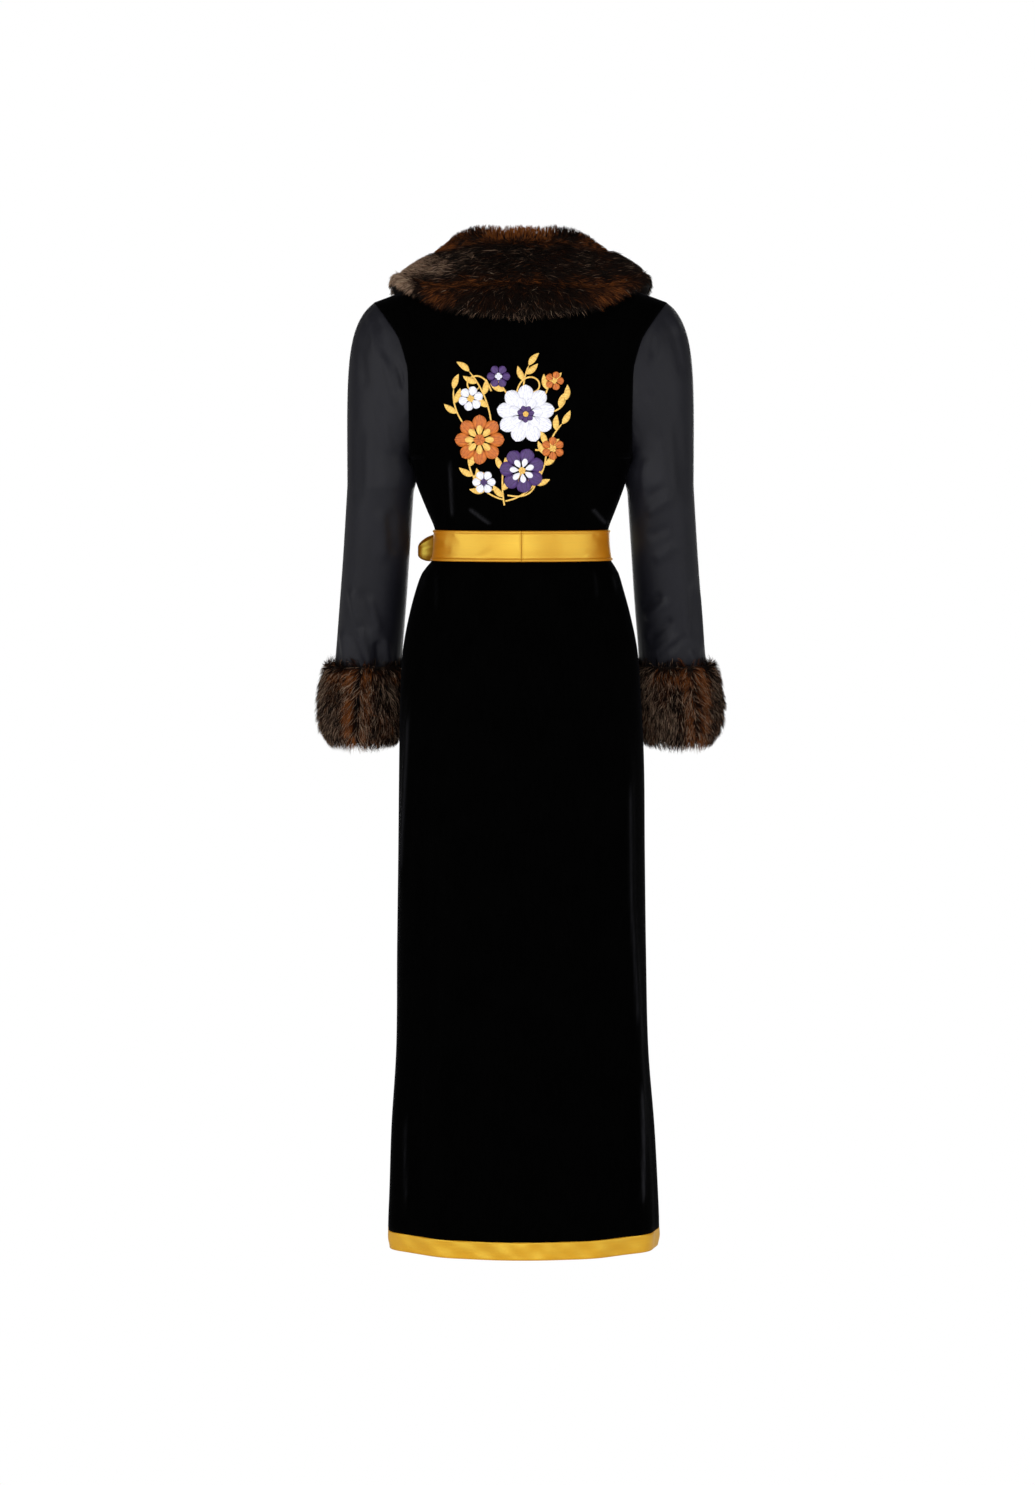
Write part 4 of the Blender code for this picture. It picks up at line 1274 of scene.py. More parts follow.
# Rows, columns and fullness of the collar. A span is where a change starts and how far on it is complete
COLLAR_SEED = 40
COLLAR_COLUMNS = 120
STRIP_ROWS = 20
COLLAR_GRID = np.meshgrid(np.linspace(0, 1, COLLAR_COLUMNS + 1), np.linspace(0, 1, STRIP_ROWS + 1))
ROOT_DEPTH = 0.95
UNDERFUR = 0.55
UNDERFUR_PARTING = 0.40
UNDERFUR_PARTING_REACH = 0.12
UNDERFUR_EDGE = 0.4
UNDERFUR_EDGE_SPAN = (0.3, 0.7)
FRINGE = 0.60
FRINGE_SHARE = 0.30
PARTING_SHARE = 0.05
THIN_LENGTH = 0.55
COLLAR_PALE = (0.005, 0.36)
COLLAR_PALE_SPAN = (0.54, 0.12)
# The outer edge: pale tips, fewer past a distance from the middle, and hair that shortens and hangs there
TIP_TONE = 0.55
TIP_SPAN = (0.60, 0.40)
TIPS_LOST = 0.7
TIPS_LOST_SPAN = (0.07, 0.04)
EDGE_SHORTENING = (0.15, 0.45)
EDGE_SHOULDER_SPAN = (0.10, 0.12)
EDGE_SPAN = (0.4, 0.6)
EDGE_DROOP = 0.003
# The pile's lean: out along the collar and down it, on the upper strip from the fold to the seam
FOLD_LEAN = -0.5
SEAM_LEAN = (-0.2, 0.7)
SEAM_LEAN_SPAN = (0.06, 0.08)
UPPER_DOWN = 0.8
UPPER_OUT = 6
UPPER_OUT_MOST = 0.6
UPPER_OUT_START = 0.4
MIDDLE_OUT = 0.90
MIDDLE_DOWN = 0.25
LOWER_OUT = 0.75
LOWER_DOWN = (0.35, 0.80)
# By the centre back tufts lie either way
CENTRE_MIX = 0.05
CENTRE_MIX_ACROSS = 900
CENTRE_MIX_ALONG = 37
CENTRE_SHARPNESS = 40
# Where the fur stands fuller over the left and right shoulders
Shoulder = namedtuple("Shoulder", "share spread rise")
SHOULDERS = {
    "collar_upper": (Shoulder(0.24, 0.06, 0.003), Shoulder(0.25, 0.05, 0.006)),
    "collar_middle": (Shoulder(0.24, 0.10, 0.003), Shoulder(0.26, 0.13, 0.008)),
    "collar_lower": (Shoulder(0.28, 0.12, 0.005), Shoulder(0.28, 0.12, 0.006)),
}


def from_back(across):
    """Shares from the centre back (0) to the collar's front ends (1)."""
    return np.abs(2 * across - 1)


def collar_tone(strip, along, roots):
    """The tone by the strip's own table, red-brown by its seams, with pale tips along the collar's edge."""
    x, z = roots[:, 0], roots[:, 2]
    tones = STRIP_TONES[strip.name]
    speckle = np.sin(z / SPECKLE_SIZE + SPECKLE_SLANT * x) * np.sin(x / SPECKLE_SIZE + SPECKLE_SHIFT)
    tone = read_table(tones, "tone", x) + SPECKLE_TONE * speckle
    start_edge = read_table(tones, "start_edge", x) * bump_at(along, 0, EDGE_SHARE)
    end_edge = read_table(tones, "end_edge", x) * bump_at(along, 1, EDGE_SHARE)
    tone = between(tone, EDGE_TONE, np.clip(np.maximum(start_edge, end_edge), 0, 1))
    if strip.end == "outside":
        tips = (1 - TIPS_LOST * ease_past(np.abs(x), *TIPS_LOST_SPAN)) * ease_past(along, *TIP_SPAN)
        tone = between(tone, TIP_TONE, tips)
    return tone


def shoulder_rise(strip, across):
    """How much further the fur stands out over the two shoulders."""
    share = from_back(across)
    left, right = SHOULDERS[strip.name]
    left_rise = left.rise * bump_at(share, left.share, left.spread)
    right_rise = right.rise * bump_at(share, right.share, right.spread)
    return np.where(across < 0.5, right_rise, left_rise)


def strip_points(strip):
    """A collar strip's backing, round the neck from the right front end to the left."""
    across, along = COLLAR_GRID
    share = from_back(across)
    lengths = np.linalg.norm(np.diff(collar_points(share, along), axis=0), axis=-1).sum(axis=0)
    gap = STRIP_GAP / 2 / lengths
    start = read_table(STRIP_EDGES, strip.start, share) + gap * (strip.start != "neck")
    end = read_table(STRIP_EDGES, strip.end, share) - gap * (strip.end != "outside")
    places = between(start, end, along)
    points = collar_points(share, places)
    tucked = collar_seam_points(share, -COLLAR_TUCK) - collar_seam_points(share, COLLAR_SEAM_LIFT)
    points = points + tucked * (1 - ease(places / COLLAR_TUCK_SHARE))[..., None]
    return points * xyz(np.where(across <= 0.5, 1, -1), 1, 1)


def strip_fullness(strip, across, along):
    """How full the fur is, from a strip's edges to its middle and from the collar's back to its ends."""
    edges = between(strip.start_fullness, strip.end_fullness, along)
    full = between(edges, 1, np.sin(np.pi * along))
    return full * read_table(COLLAR_STATIONS, "fullness", from_back(across))


def seam_parting(strip, along, reach):
    """1 at a strip's seams with the next strips, falling to 0 at a reach from them."""
    parting = 0 * along
    if strip.start != "neck":
        parting = bump_at(along, 0, reach)
    if strip.end != "outside":
        parting = np.maximum(parting, bump_at(along, 1, reach))
    return parting


def underfur_share(strip, across, along):
    """The depth of the dense underfur with its backing, as a share of the fur's reach."""
    share = UNDERFUR * strip_fullness(strip, across, along)
    share = share + shoulder_rise(strip, across) / FUR_REACH
    share = share * (1 - UNDERFUR_PARTING * seam_parting(strip, along, UNDERFUR_PARTING_REACH))
    if strip.end == "outside":
        share = share * (1 - UNDERFUR_EDGE * ease_past(along, *UNDERFUR_EDGE_SPAN))
    return np.maximum(share, FUR_BACKING / FUR_REACH)


def fold_place(across):
    """Where the collar's fold lies on the upper strip, as a share along it."""
    return COLLAR_FOLD_AT / read_table(STRIP_EDGES, "upper_seam", from_back(across))


def upper_lean(across, along):
    """Up the stand to the fold, where the tufts stand, then down over the seam and out to the shoulders."""
    fold = fold_place(across)
    past_fold = (along - fold) / (1 - fold)
    at_seam = between(*SEAM_LEAN, ease_past(from_back(across), *SEAM_LEAN_SPAN))
    down = np.where(along < fold, (fold - along) / fold, between(FOLD_LEAN, at_seam, past_fold))
    out = np.clip((across - 0.5) * UPPER_OUT, -UPPER_OUT_MOST, UPPER_OUT_MOST)
    return out * np.clip(past_fold, UPPER_OUT_START, 1), UPPER_DOWN * down


def away_from_back(across, along):
    """The way the pile lies along the collar: away from the centre back."""
    mixed = CENTRE_MIX * np.sin(across * CENTRE_MIX_ACROSS) * np.sin(along * CENTRE_MIX_ALONG)
    return np.clip((across - 0.5 + mixed) * CENTRE_SHARPNESS, -1, 1)


def middle_lean(across, along):
    """Along the collar and a little down."""
    return MIDDLE_OUT * away_from_back(across, along), np.full(across.shape, MIDDLE_DOWN)


def lower_lean(across, along):
    """Along the collar and down, more so by its outer edge."""
    return LOWER_OUT * away_from_back(across, along), between(*LOWER_DOWN, along)


STRIP_LEANS = {"collar_upper": upper_lean, "collar_middle": middle_lean, "collar_lower": lower_lean}


def strip_pile(strip):
    """The function that gives a strip's pile at places on it."""

    def pile_at(across, along, roots):
        lean_across, lean_along = STRIP_LEANS[strip.name](across, along)
        full = strip_fullness(strip, across, along)
        height = FUR_REACH * full * (1 - UNDERFUR) * strip.rise
        if strip.start == "neck":
            height = height * (1 + FRINGE * bump_at(along, fold_place(across), FRINGE_SHARE))
        length = strip.hair_length * between(THIN_LENGTH, 1, full)
        droop = 0 * along
        if strip.end == "outside":
            shorter = between(*EDGE_SHORTENING, ease_past(from_back(across), *EDGE_SHOULDER_SPAN))
            length = length * (1 - shorter * ease_past(along, *EDGE_SPAN))
            droop = EDGE_DROOP * along
        parting = seam_parting(strip, along, PARTING_SHARE)
        # Painted shade in the partings along the strip's seams
        tone = between(collar_tone(strip, along, roots), PARTING_SHADE_TONE, parting)
        pale = between(*COLLAR_PALE, ease_past(tone, *COLLAR_PALE_SPAN))
        parted = between(1, PARTING_LENGTH, parting)
        return Pile(lean_across, lean_along, height * parted, length * parted, tone, pale, droop)

    return pile_at


for number, strip in enumerate(COLLAR_STRIPS):
    points = strip_points(strip)
    share = underfur_share(strip, *COLLAR_GRID)
    hide = cloth_piece(f"{strip.name}_backing", points, FUR_REACH, backing, "fur", side=1, fullness=share)
    roots = points + outward_normals(points) * (share * FUR_REACH * ROOT_DEPTH)[..., None]
    strip_hair = fur_piece(f"{strip.name}_hair", roots, strip.hairs, COLLAR_SEED + number, strip_pile(strip))
    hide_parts(strip.name)

# Cuffs: the pile lies down them and stands up at the top's outer side. A bump is a middle and half a width
CUFF_SEED = 60
CUFF_SEAM_TURNS = {"right": 0.178, "left": 0.225}
CUFF_COLUMNS = 48
CUFF_ROWS = 26
CUFF_HAIRS = 15500
CUFF_TOP = 0.20
CUFF_DOWN = 0.85
CUFF_TOP_DOWN = (0.15, -0.75)
CUFF_OUTER_SPAN = (0.248, 0.020)
CUFF_AWAY = 0.5
CUFF_AWAY_BUMP = (0.03, 0.10)
CUFF_SWAY = 0.18
# Heights, lengths and droop of the hair, lower, shorter and hanging by the wrist
CUFF_START_HEIGHT = 0.50
CUFF_START_ARCH = 0.15
CUFF_LOWERING = 0.40
CUFF_LOWERING_SPAN = (0.68, 0.30)
CUFF_HAIR_LENGTH = 0.017
CUFF_SHORTENING = 0.40
CUFF_SHORTENING_BUMP = (0.82, 0.16)
CUFF_DROOP = 0.006
CUFF_DROOP_RANGE = (0.2, 1.5)
CUFF_DROOP_SPAN = (0.80, 0.20)
CUFF_PARTING_REACH = 0.018
CUFF_PARTING_SPAN = (0.7, 0.2)
# Tones: clouds all over, red-brown patches by the seams, the upper edge and the wrist, and pale hairs
CUFF_TONE = 0.42
CUFF_CLOUDS = 0.14
CUFF_PALE = 0.15
CUFF_PALE_BUMP = (0.42, 0.25)
CUFF_TOP_PALE = 0.2
Patch = namedtuple("Patch", "tone share place reach")
SEAM_PATCH = Patch(0.06, 0.80, 0.045, 0.085)
TOP_PATCH = Patch(0.04, 0.75, 0.16, 0.11)
WRIST_PATCH = Patch(0.10, 0.50, 0.86, 0.10)
# Waves over a cuff: radians across and along it, and the start
Ripple = namedtuple("Ripple", "across along start")
SWAY_RIPPLE = Ripple(21, 5, 0)
CLOUD_RIPPLES = (Ripple(17, 0, 1), Ripple(0, 7, 0))
TOP_RIPPLE = Ripple(12, 0, 0)
TOP_RIPPLE_RANGE = (0.6, 1.0)
WRIST_RIPPLE = Ripple(14, 0, 2)


def cuff_points(side, word, face):
    """Half a cuff's backing round the sleeve, from its upper edge down and turned in at the wrist."""
    start = CUFF_SEAM_TURNS[word] + (0 if face == "back" else 0.5)
    lap = SEAM_LAP / CUFF_GIRTH / 2
    turns = np.linspace(start - lap, start + 0.5 + lap, CUFF_COLUMNS + 1)
    turn, share = np.meshgrid(turns, np.linspace(0, 1, CUFF_ROWS + 1))
    rise = read_table(CUFF_BACKING, "rise", share)
    points = sleeve_ring_points(turn, CUFF_BOTTOM + rise, read_table(CUFF_BACKING, "stand_off", share))
    return points if side > 0 else points[:, ::-1] * (-1, 1, 1)


def rippled(ripple, across, along):
    return np.sin(across * ripple.across + along * ripple.along + ripple.start)


def patched(tone, patch, places, part=1.0):
    """A tone with a patch of another round a place."""
    return between(tone, patch.tone, patch.share * bump_at(places, patch.place, patch.reach) * part)


def cuff_tone(across, along, from_seam):
    first, second = CLOUD_RIPPLES
    tone = CUFF_TONE + CUFF_CLOUDS * rippled(first, across, along) * rippled(second, across, along)
    tone = patched(tone, SEAM_PATCH, from_seam)
    tone = patched(tone, TOP_PATCH, along, between(*TOP_RIPPLE_RANGE, rippled(TOP_RIPPLE, across, along)))
    return patched(tone, WRIST_PATCH, along, ease(rippled(WRIST_RIPPLE, across, along)))


def cuff_pile(across, along, roots):
    """Half a cuff's pile at places on it, parted by its seams down to the wrist, with painted shade in the
    partings.
    """
    at_top = 1 - ease(along / CUFF_TOP)
    outer = ease_past(np.abs(roots[:, 0]), *CUFF_OUTER_SPAN)
    lean_along = between(CUFF_DOWN, between(*CUFF_TOP_DOWN, outer), at_top)
    from_seam = np.minimum(across, 1 - across)
    away = np.where(across < 0.5, 1, -1) * bump_at(from_seam, *CUFF_AWAY_BUMP)
    lean_across = CUFF_AWAY * away + CUFF_SWAY * rippled(SWAY_RIPPLE, across, along)
    parting = bump_at(from_seam, 0, CUFF_PARTING_REACH) * (1 - ease_past(along, *CUFF_PARTING_SPAN))
    parted = between(1, PARTING_LENGTH, parting)
    # Painted shade in the partings along the cuff's seams
    tone = between(cuff_tone(across, along, from_seam), PARTING_SHADE_TONE, parting)
    arch = np.sin(np.pi * between(CUFF_START_ARCH, 1, along))
    height = CUFF_FUR_REACH * between(CUFF_START_HEIGHT, 1, arch) * parted
    height = height * (1 - CUFF_LOWERING * ease_past(along, *CUFF_LOWERING_SPAN))
    length = CUFF_HAIR_LENGTH * parted * (1 - CUFF_SHORTENING * bump_at(along, *CUFF_SHORTENING_BUMP))
    depth = roots[:, 1] - read_table(SLEEVE_RINGS, "centre_y", roots[:, 2])
    middle = np.minimum((depth / read_table(SLEEVE_RINGS, "half_depth", roots[:, 2])) ** 2, 1)
    droop = CUFF_DROOP * between(*CUFF_DROOP_RANGE, middle) * ease_past(along, *CUFF_DROOP_SPAN)
    pale = CUFF_PALE * (1 + bump_at(across, *CUFF_PALE_BUMP)) * between(1, CUFF_TOP_PALE, at_top)
    return Pile(lean_across, lean_along, height, length, tone, pale, droop)


for word, side in SIDES.items():
    for number, face in enumerate(("back", "front")):
        node = f"cuff_{word}_{face}"
        points = cuff_points(side, word, face)
        hide = cloth_piece(f"{node}_backing", points, FUR_BACKING, backing, "fur")
        cuff_hair = fur_piece(f"{node}_hair", points, CUFF_HAIRS, CUFF_SEED + 10 * side + number, cuff_pile)
        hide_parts(node)

# The sash: a doubled band with rolled edges and a row of stitches by each, gathered towards the knot
SASH_WIDTH = 0.0425
SASH_LEFT_LENGTH = 0.285
SASH_RIGHT_LENGTH = 0.425
SASH_COLUMN_ANGLE = 1.5
SASH_HALF_SHARES = np.array((0, 0.015, 0.04, 0.075, 0.105, 0.135, 0.20, 0.30, 0.40, 0.50))
SASH_SHARES = np.concatenate((SASH_HALF_SHARES, 1 - SASH_HALF_SHARES[-2::-1]))
SASH_ROLL_HEIGHT = 0.0009
SASH_ROLL_BUMP = (0.045, 0.055)
SASH_EDGE_SHARE = 0.03
SASH_STITCH_DEPTH = 0.0003
SASH_STITCH_BUMP = (0.105, 0.045)
SASH_GATHERS = 3
SASH_GATHER_START = 0.6
SASH_GATHER_REACH = 0.030
SASH_GATHER_HEIGHT = 0.0012
SASH_SEAM_DEPTH = 0.00035
SASH_SEAM_REACH = 0.0016
SASH_BACK_GAP = 0.0001
SASH_FOLDS = folds(
    (5.5, 1.3, (-121, -366), (-100, -379)),
    (5, -1, (-120, -380), (-96, -390)),
    (6, 0.9, (-94, -364), (-78, -380)),
    (7, 0.8, (-60, -400), (-36, -385)),
    (7, 0.8, (40, -366), (64, -384)),
    (6, 1.1, (86, -398), (112, -380)),
    (5, -0.9, (100, -366), (120, -378)),
)


def band_relief(share):
    """Rolled edges and stitch lines of a doubled band, at shares from its lower to its upper edge."""
    edge = np.minimum(share, 1 - share)
    roll = SASH_ROLL_HEIGHT * (bump_at(edge, *SASH_ROLL_BUMP) - 1 + ease(edge / SASH_EDGE_SHARE))
    return roll - SASH_STITCH_DEPTH * bump_at(edge, *SASH_STITCH_BUMP)


def sash_sheet_points(start, end):
    """A length of the sash round the waist, between two angles from the centre back."""
    columns = round((end - start) / SASH_COLUMN_ANGLE)
    angle, share = np.meshgrid(np.linspace(start, end, columns + 1), SASH_SHARES)
    height = between(SASH_BOTTOM, SASH_TOP, share)
    points = sash_points(angle, height, 0 * angle + LAY_GAP + BAND_WALL)
    normals = outward_normals(points)
    relief = fold_relief(points, normals, SASH_FOLDS, -1) + band_relief(share)
    from_knot = np.radians(np.abs((angle - KNOT_ANGLE + 180) % 360 - 180)) * WAIST_RADIUS
    gathers = np.cos(2 * np.pi * SASH_GATHERS * share + SASH_GATHER_START)
    relief = relief + SASH_GATHER_HEIGHT * gathers * np.exp(-from_knot / SASH_GATHER_REACH)
    from_seam = np.radians(np.abs(angle)) * WAIST_RADIUS
    relief = relief - SASH_SEAM_DEPTH * np.exp(-((from_seam / SASH_SEAM_REACH) ** 2))
    return points + normals * relief[..., None]


knot_gap = math.degrees(SEAM_GAP / WAIST_RADIUS)
back_gap = math.degrees(SASH_BACK_GAP / WAIST_RADIUS)
for word, start, end, length in (
    ("left", KNOT_ANGLE + knot_gap, -back_gap / 2, SASH_LEFT_LENGTH),
    ("right", back_gap / 2, 360 + KNOT_ANGLE, SASH_RIGHT_LENGTH),
):
    add_sheet(
        f"sash_{word}", sash_sheet_points(start, end), BAND_WALL, gold_satin, "gold_satin",
        flat=(length, SASH_WIDTH), held="stretched", rests_on=["back_panel", f"front_{word}"],
        lengthwise="columns",
    )

# The knot, the bow's loops and the hanging ends, with the pleats that the knot gathers
KNOT_COLUMNS = 64
KNOT_ROWS = 40
KNOT_SQUARENESS = 0.8
KNOT_PLEATS = 2.6
KNOT_PLEAT_SLANT = 0.4
KNOT_PLEAT_DEPTH = 0.10
KNOT_PLEAT_SINK = 0.04
LOOP_FLAT = (0.165, 0.038)
LOOP_AREA = 0.0052
LOOP_COLUMNS = 96
LOOP_ROWS = 20
LOOP_CUPPING = 0.22
LOOP_PLEATS = 2.5
LOOP_PLEAT_HEIGHT = 0.0022
LOOP_PLEAT_START = 0.06
LOOP_PLEAT_FADE = 0.35
SASH_END_WIDTH = 0.045
SASH_END_TURN = 0.005
SASH_END_COLUMNS = 24
SASH_END_ROWS = 130
SASH_END_PLEATS = 2
SASH_END_PLEAT_DRIFT = 3
SASH_END_PLEAT_HEIGHT = 0.0022
SASH_END_PLEAT_START = 0.03
SASH_END_PLEAT_FADE = 2.2
SASH_END_PLEAT_LEFT = 0.30
SASH_END_STITCH_DEPTH = 0.0004
SASH_END_HEM = 0.012
SASH_END_HEM_REACH = 0.003
SASH_END_EDGE_BUMP = (0.90, 0.06)

knot_height = np.array(between(SASH_BOTTOM, SASH_TOP, 0.5))
knot_outward = outward_at(np.array(KNOT_ANGLE), knot_height)
knot_along = np.array((-knot_outward[1], knot_outward[0], 0))
knot_lift = np.array(2 * LAY_GAP + BAND_WALL + KNOT_HALF_THICKNESS)
knot_middle = sash_points(np.array(KNOT_ANGLE), knot_height, knot_lift)


def add_knot():
    """The knot: a cushion of cloth with pleats that run round it over the sash."""
    knot = bmesh.new()
    knot.loops.layers.uv.new("Threads")
    bmesh.ops.create_uvsphere(knot, u_segments=KNOT_COLUMNS, v_segments=KNOT_ROWS, radius=1, calc_uvs=True)
    bmesh.ops.rotate(knot, verts=knot.verts, matrix=Matrix.Rotation(math.pi / 2, 3, "X"))
    for vertex in knot.verts:
        out, along, up = vertex.co
        ridge = 0.5 + 0.5 * math.cos(2 * math.pi * KNOT_PLEATS * along + KNOT_PLEAT_SLANT * up)
        pleat = 1 - KNOT_PLEAT_DEPTH * ridge
        out = math.copysign(abs(out) ** KNOT_SQUARENESS, out) * pleat
        up = math.copysign(abs(up) ** KNOT_SQUARENESS, up) * between(1, pleat, KNOT_PLEAT_SINK)
        place = knot_middle + knot_outward * out * KNOT_HALF_THICKNESS + knot_along * along * KNOT_HALF_LENGTH
        vertex.co = Vector(place) + Vector((0, 0, up * KNOT_HALF_HEIGHT))
    bmesh.ops.recalc_face_normals(knot, faces=knot.faces)
    mesh = smooth_mesh(knot, "sash_knot_cloth")
    threads = mesh.uv_layers["Threads"]
    flat = np.empty(2 * len(mesh.loops), dtype=np.float32)
    threads.uv.foreach_get("vector", flat)
    girth = np.array((2 * KNOT_HALF_HEIGHT, 2 * KNOT_HALF_LENGTH), dtype=np.float32) * np.float32(np.pi / 2)
    threads.uv.foreach_set("vector", (flat.reshape(-1, 2) * girth).ravel())
    piece = new_piece(mesh.name, mesh, gold_satin)
    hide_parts("sash_knot")


def loop_points(way):
    """A bow loop: out from the knot, round and back, gathered in pleats at the knot."""
    degrees = np.linspace(LOOP_OPEN_ANGLE, 360 - LOOP_OPEN_ANGLE, LOOP_COLUMNS + 1)
    turn, width = np.meshgrid(np.radians(degrees), np.linspace(-1, 1, LOOP_ROWS + 1))
    swell = np.sin(turn / 2) ** 2
    reach = KNOT_HALF_LENGTH + SEAM_GAP / 2 + LOOP_LENGTH * swell
    stand = LOOP_HALF_THICKNESS * np.sin(turn)
    gathered = np.exp(-swell / LOOP_PLEAT_FADE) * ease(swell / LOOP_PLEAT_START)
    pleats = np.cos(np.pi * LOOP_PLEATS * width + way) * gathered
    stand = stand * (1 - LOOP_CUPPING * width**2) + LOOP_PLEAT_HEIGHT * pleats
    lift = read_table(LOOP_WIDTHS, "half_width", swell) * width - LOOP_DROOP * swell
    points = knot_middle + knot_along * (way * reach)[..., None] + knot_outward * stand[..., None]
    return points + xyz(0, 0, lift)


def sash_end_points(sash_end):
    """A hanging end of the sash, gathered under the knot and open to its width below."""
    width, down = np.meshgrid(np.linspace(1, -1, SASH_END_COLUMNS + 1), np.linspace(0, 1, SASH_END_ROWS + 1))
    height = knot_middle[2] - KNOT_HALF_HEIGHT - SEAM_GAP / 2 - sash_end.length * down
    settle = ease(down * sash_end.length / SASH_END_SETTLE)
    angle = sash_end.angle + sash_end.swing * ease(down / SASH_END_SWING_SHARE)
    radius = np.linalg.norm(torso_points(angle, height)[..., :2], axis=-1)
    half = SASH_END_HALF_WIDTH * between(SASH_END_GATHER, 1, settle)
    angle = angle + np.degrees(half * width / radius)
    lift = sash_end.lift + (BAND_WALL + KNOT_HALF_THICKNESS / 2) * (1 - settle)
    turn = np.pi * SASH_END_PLEATS * width + SASH_END_PLEAT_DRIFT * down + sash_end.swing
    pleats = 0.5 + 0.5 * np.cos(turn)
    gathered = between(1, SASH_END_PLEAT_LEFT, ease(down * SASH_END_PLEAT_FADE))
    gathered = gathered * ease(down / SASH_END_PLEAT_START)
    hem = bump_at(down * sash_end.length, sash_end.length - SASH_END_HEM, SASH_END_HEM_REACH)
    edge = bump_at(np.abs(width), *SASH_END_EDGE_BUMP)
    lift = lift + SASH_END_PLEAT_HEIGHT * pleats * gathered - SASH_END_STITCH_DEPTH * np.maximum(hem, edge)
    return sash_points(angle, height, lift)


add_knot()
for name, way in (("bow_loop_outer", 1), ("bow_loop_inner", -1)):
    add_sheet(
        name, loop_points(way), SATIN_WALL, gold_satin, "gold_satin",
        flat=LOOP_FLAT, area=LOOP_AREA, held="folded", rests_on=["sash_knot"], side=0, lengthwise="columns",
    )
for sash_end in SASH_ENDS:
    add_sheet(
        sash_end.name, sash_end_points(sash_end), SATIN_WALL, gold_satin, "gold_satin",
        flat=(SASH_END_WIDTH, sash_end.length + SASH_END_TURN), held="hung",
        rests_on=["sash_knot", "front_left"], side=0,
    )

# Embroidery: a spray in raised satin stitch, in millimetres from its middle, headings in degrees from +X up
EMBROIDERY_MIDDLE = np.array((-0.020, -0.228))
STITCH_COLUMNS = 4
STITCH_WALL = 0.0004
STITCH_CROWN = 0.0005
STITCH_LAYER = 0.00032
CROWN_WIDTH = 9
Stitching = namedtuple("Stitching", "thread shape x y heading length width bend layer")
Ring = namedtuple("Ring", "thread petals start length width layer")
Flower = namedtuple("Flower", "x y turn rings")
FLOWERS = (
    Flower(27, 27, 10, (
        Ring("white", 9, 9, 31, 21, 2),
        Ring("white", 7, 5, 19, 14, 4),
        Ring("purple", 7, 2, 10, 7, 6),
        Ring("gold", 5, 0, 4, 4, 8),
    )),
    Flower(-36, -8, 0, (
        Ring("russet", 8, 8, 26, 19, 2),
        Ring("gold", 8, 5, 15, 9, 4),
        Ring("russet", 6, 0, 8, 7, 6),
    )),
    Flower(22, -50, 20, (
        Ring("purple", 7, 7, 24, 20, 2),
        Ring("white", 7, 4, 13, 8, 4),
        Ring("gold", 5, 0, 5, 5, 6),
    )),
    Flower(-48, 48, 15, (Ring("white", 6, 3, 14, 12, 2), Ring("gold", 4, 0, 5, 5, 4))),
    Flower(-10, 78, 0, (Ring("purple", 6, 3, 13, 11, 2), Ring("white", 4, 0, 5, 5, 4))),
    Flower(64, -20, 30, (Ring("russet", 6, 3, 13, 11, 2), Ring("gold", 4, 0, 5, 5, 4))),
    Flower(-30, -66, 0, (Ring("white", 6, 3, 13, 11, 2), Ring("purple", 4, 0, 5, 5, 4))),
    Flower(66, 72, 0, (Ring("russet", 5, 2, 11, 10, 2), Ring("gold", 4, 0, 4, 4, 4))),
)
# Stems with leaves at shares of their length, on one side and the other in turn and at the end where it is 1
Sprig = namedtuple("Sprig", "x y heading length bend leaves")
SPRIGS = (
    Sprig(-2, -98, 101, 66, -24, (0.18, 0.32, 0.74, 0.90)),
    Sprig(-3, -90, 168, 84, -78, (0.34, 0.50, 0.66, 0.82, 1.0)),
    Sprig(-1, -92, 10, 104, 88, (0.30, 0.46, 0.60, 0.74, 0.88, 1.0)),
    Sprig(-58, 14, 128, 50, -44, (0.34, 0.62, 1.0)),
    Sprig(-20, 14, 96, 78, 34, (0.30, 0.52, 0.76, 1.0)),
    Sprig(6, 44, 112, 34, 20, (0.50,)),
    Sprig(24, 58, 92, 36, -28, (0.40, 0.66, 1.0)),
    Sprig(50, 46, 62, 34, 16, (0.46, 0.74)),
    Sprig(62, 30, 8, 26, 62, (0.50, 1.0)),
    Sprig(40, -22, -6, 34, 30, (0.50,)),
    Sprig(62, -8, 66, 26, -20, (0.55, 1.0)),
)
STEM_WIDTH = 2.2
CURLS = (
    Stitching("gold", "curl", -12, -74, 200, 74, STEM_WIDTH, -330, 0),
    Stitching("gold", "curl", 2, -84, -10, 92, STEM_WIDTH, 320, 0),
    Stitching("gold", "curl", 14, 52, 80, 78, STEM_WIDTH, -340, 0),
    Stitching("gold", "curl", -20, 58, 110, 74, STEM_WIDTH, 330, 0),
)
LEAF_LENGTH = 22
LEAF_WIDTH = 8.5
LEAF_TURN = 46
LEAF_BEND = 26
STEM_ROWS = 48
STEM_TIP = 0.35
STEM_TAPER = 5
LEAF_ROWS = 12
PETAL_LAP = 0.5
CURL_TIGHTENING = 1.8
# Outlines of stitched shapes, as powers: above 1 the first one moves the widest place on, below 1 back
Outline = namedtuple("Outline", "skew bluntness")
OUTLINES = {"petal": Outline(1.5, 0.6), "leaf": Outline(0.85, 0.9)}


def stitch_widths(shape, along):
    """Half widths along a stitched shape, as shares of its widest."""
    if shape not in OUTLINES:
        return np.clip(STEM_TIP + STEM_TAPER * (1 - along), 0, 1)
    outline = OUTLINES[shape]
    return np.maximum(np.sin(np.pi * along**outline.skew), 0) ** outline.bluntness


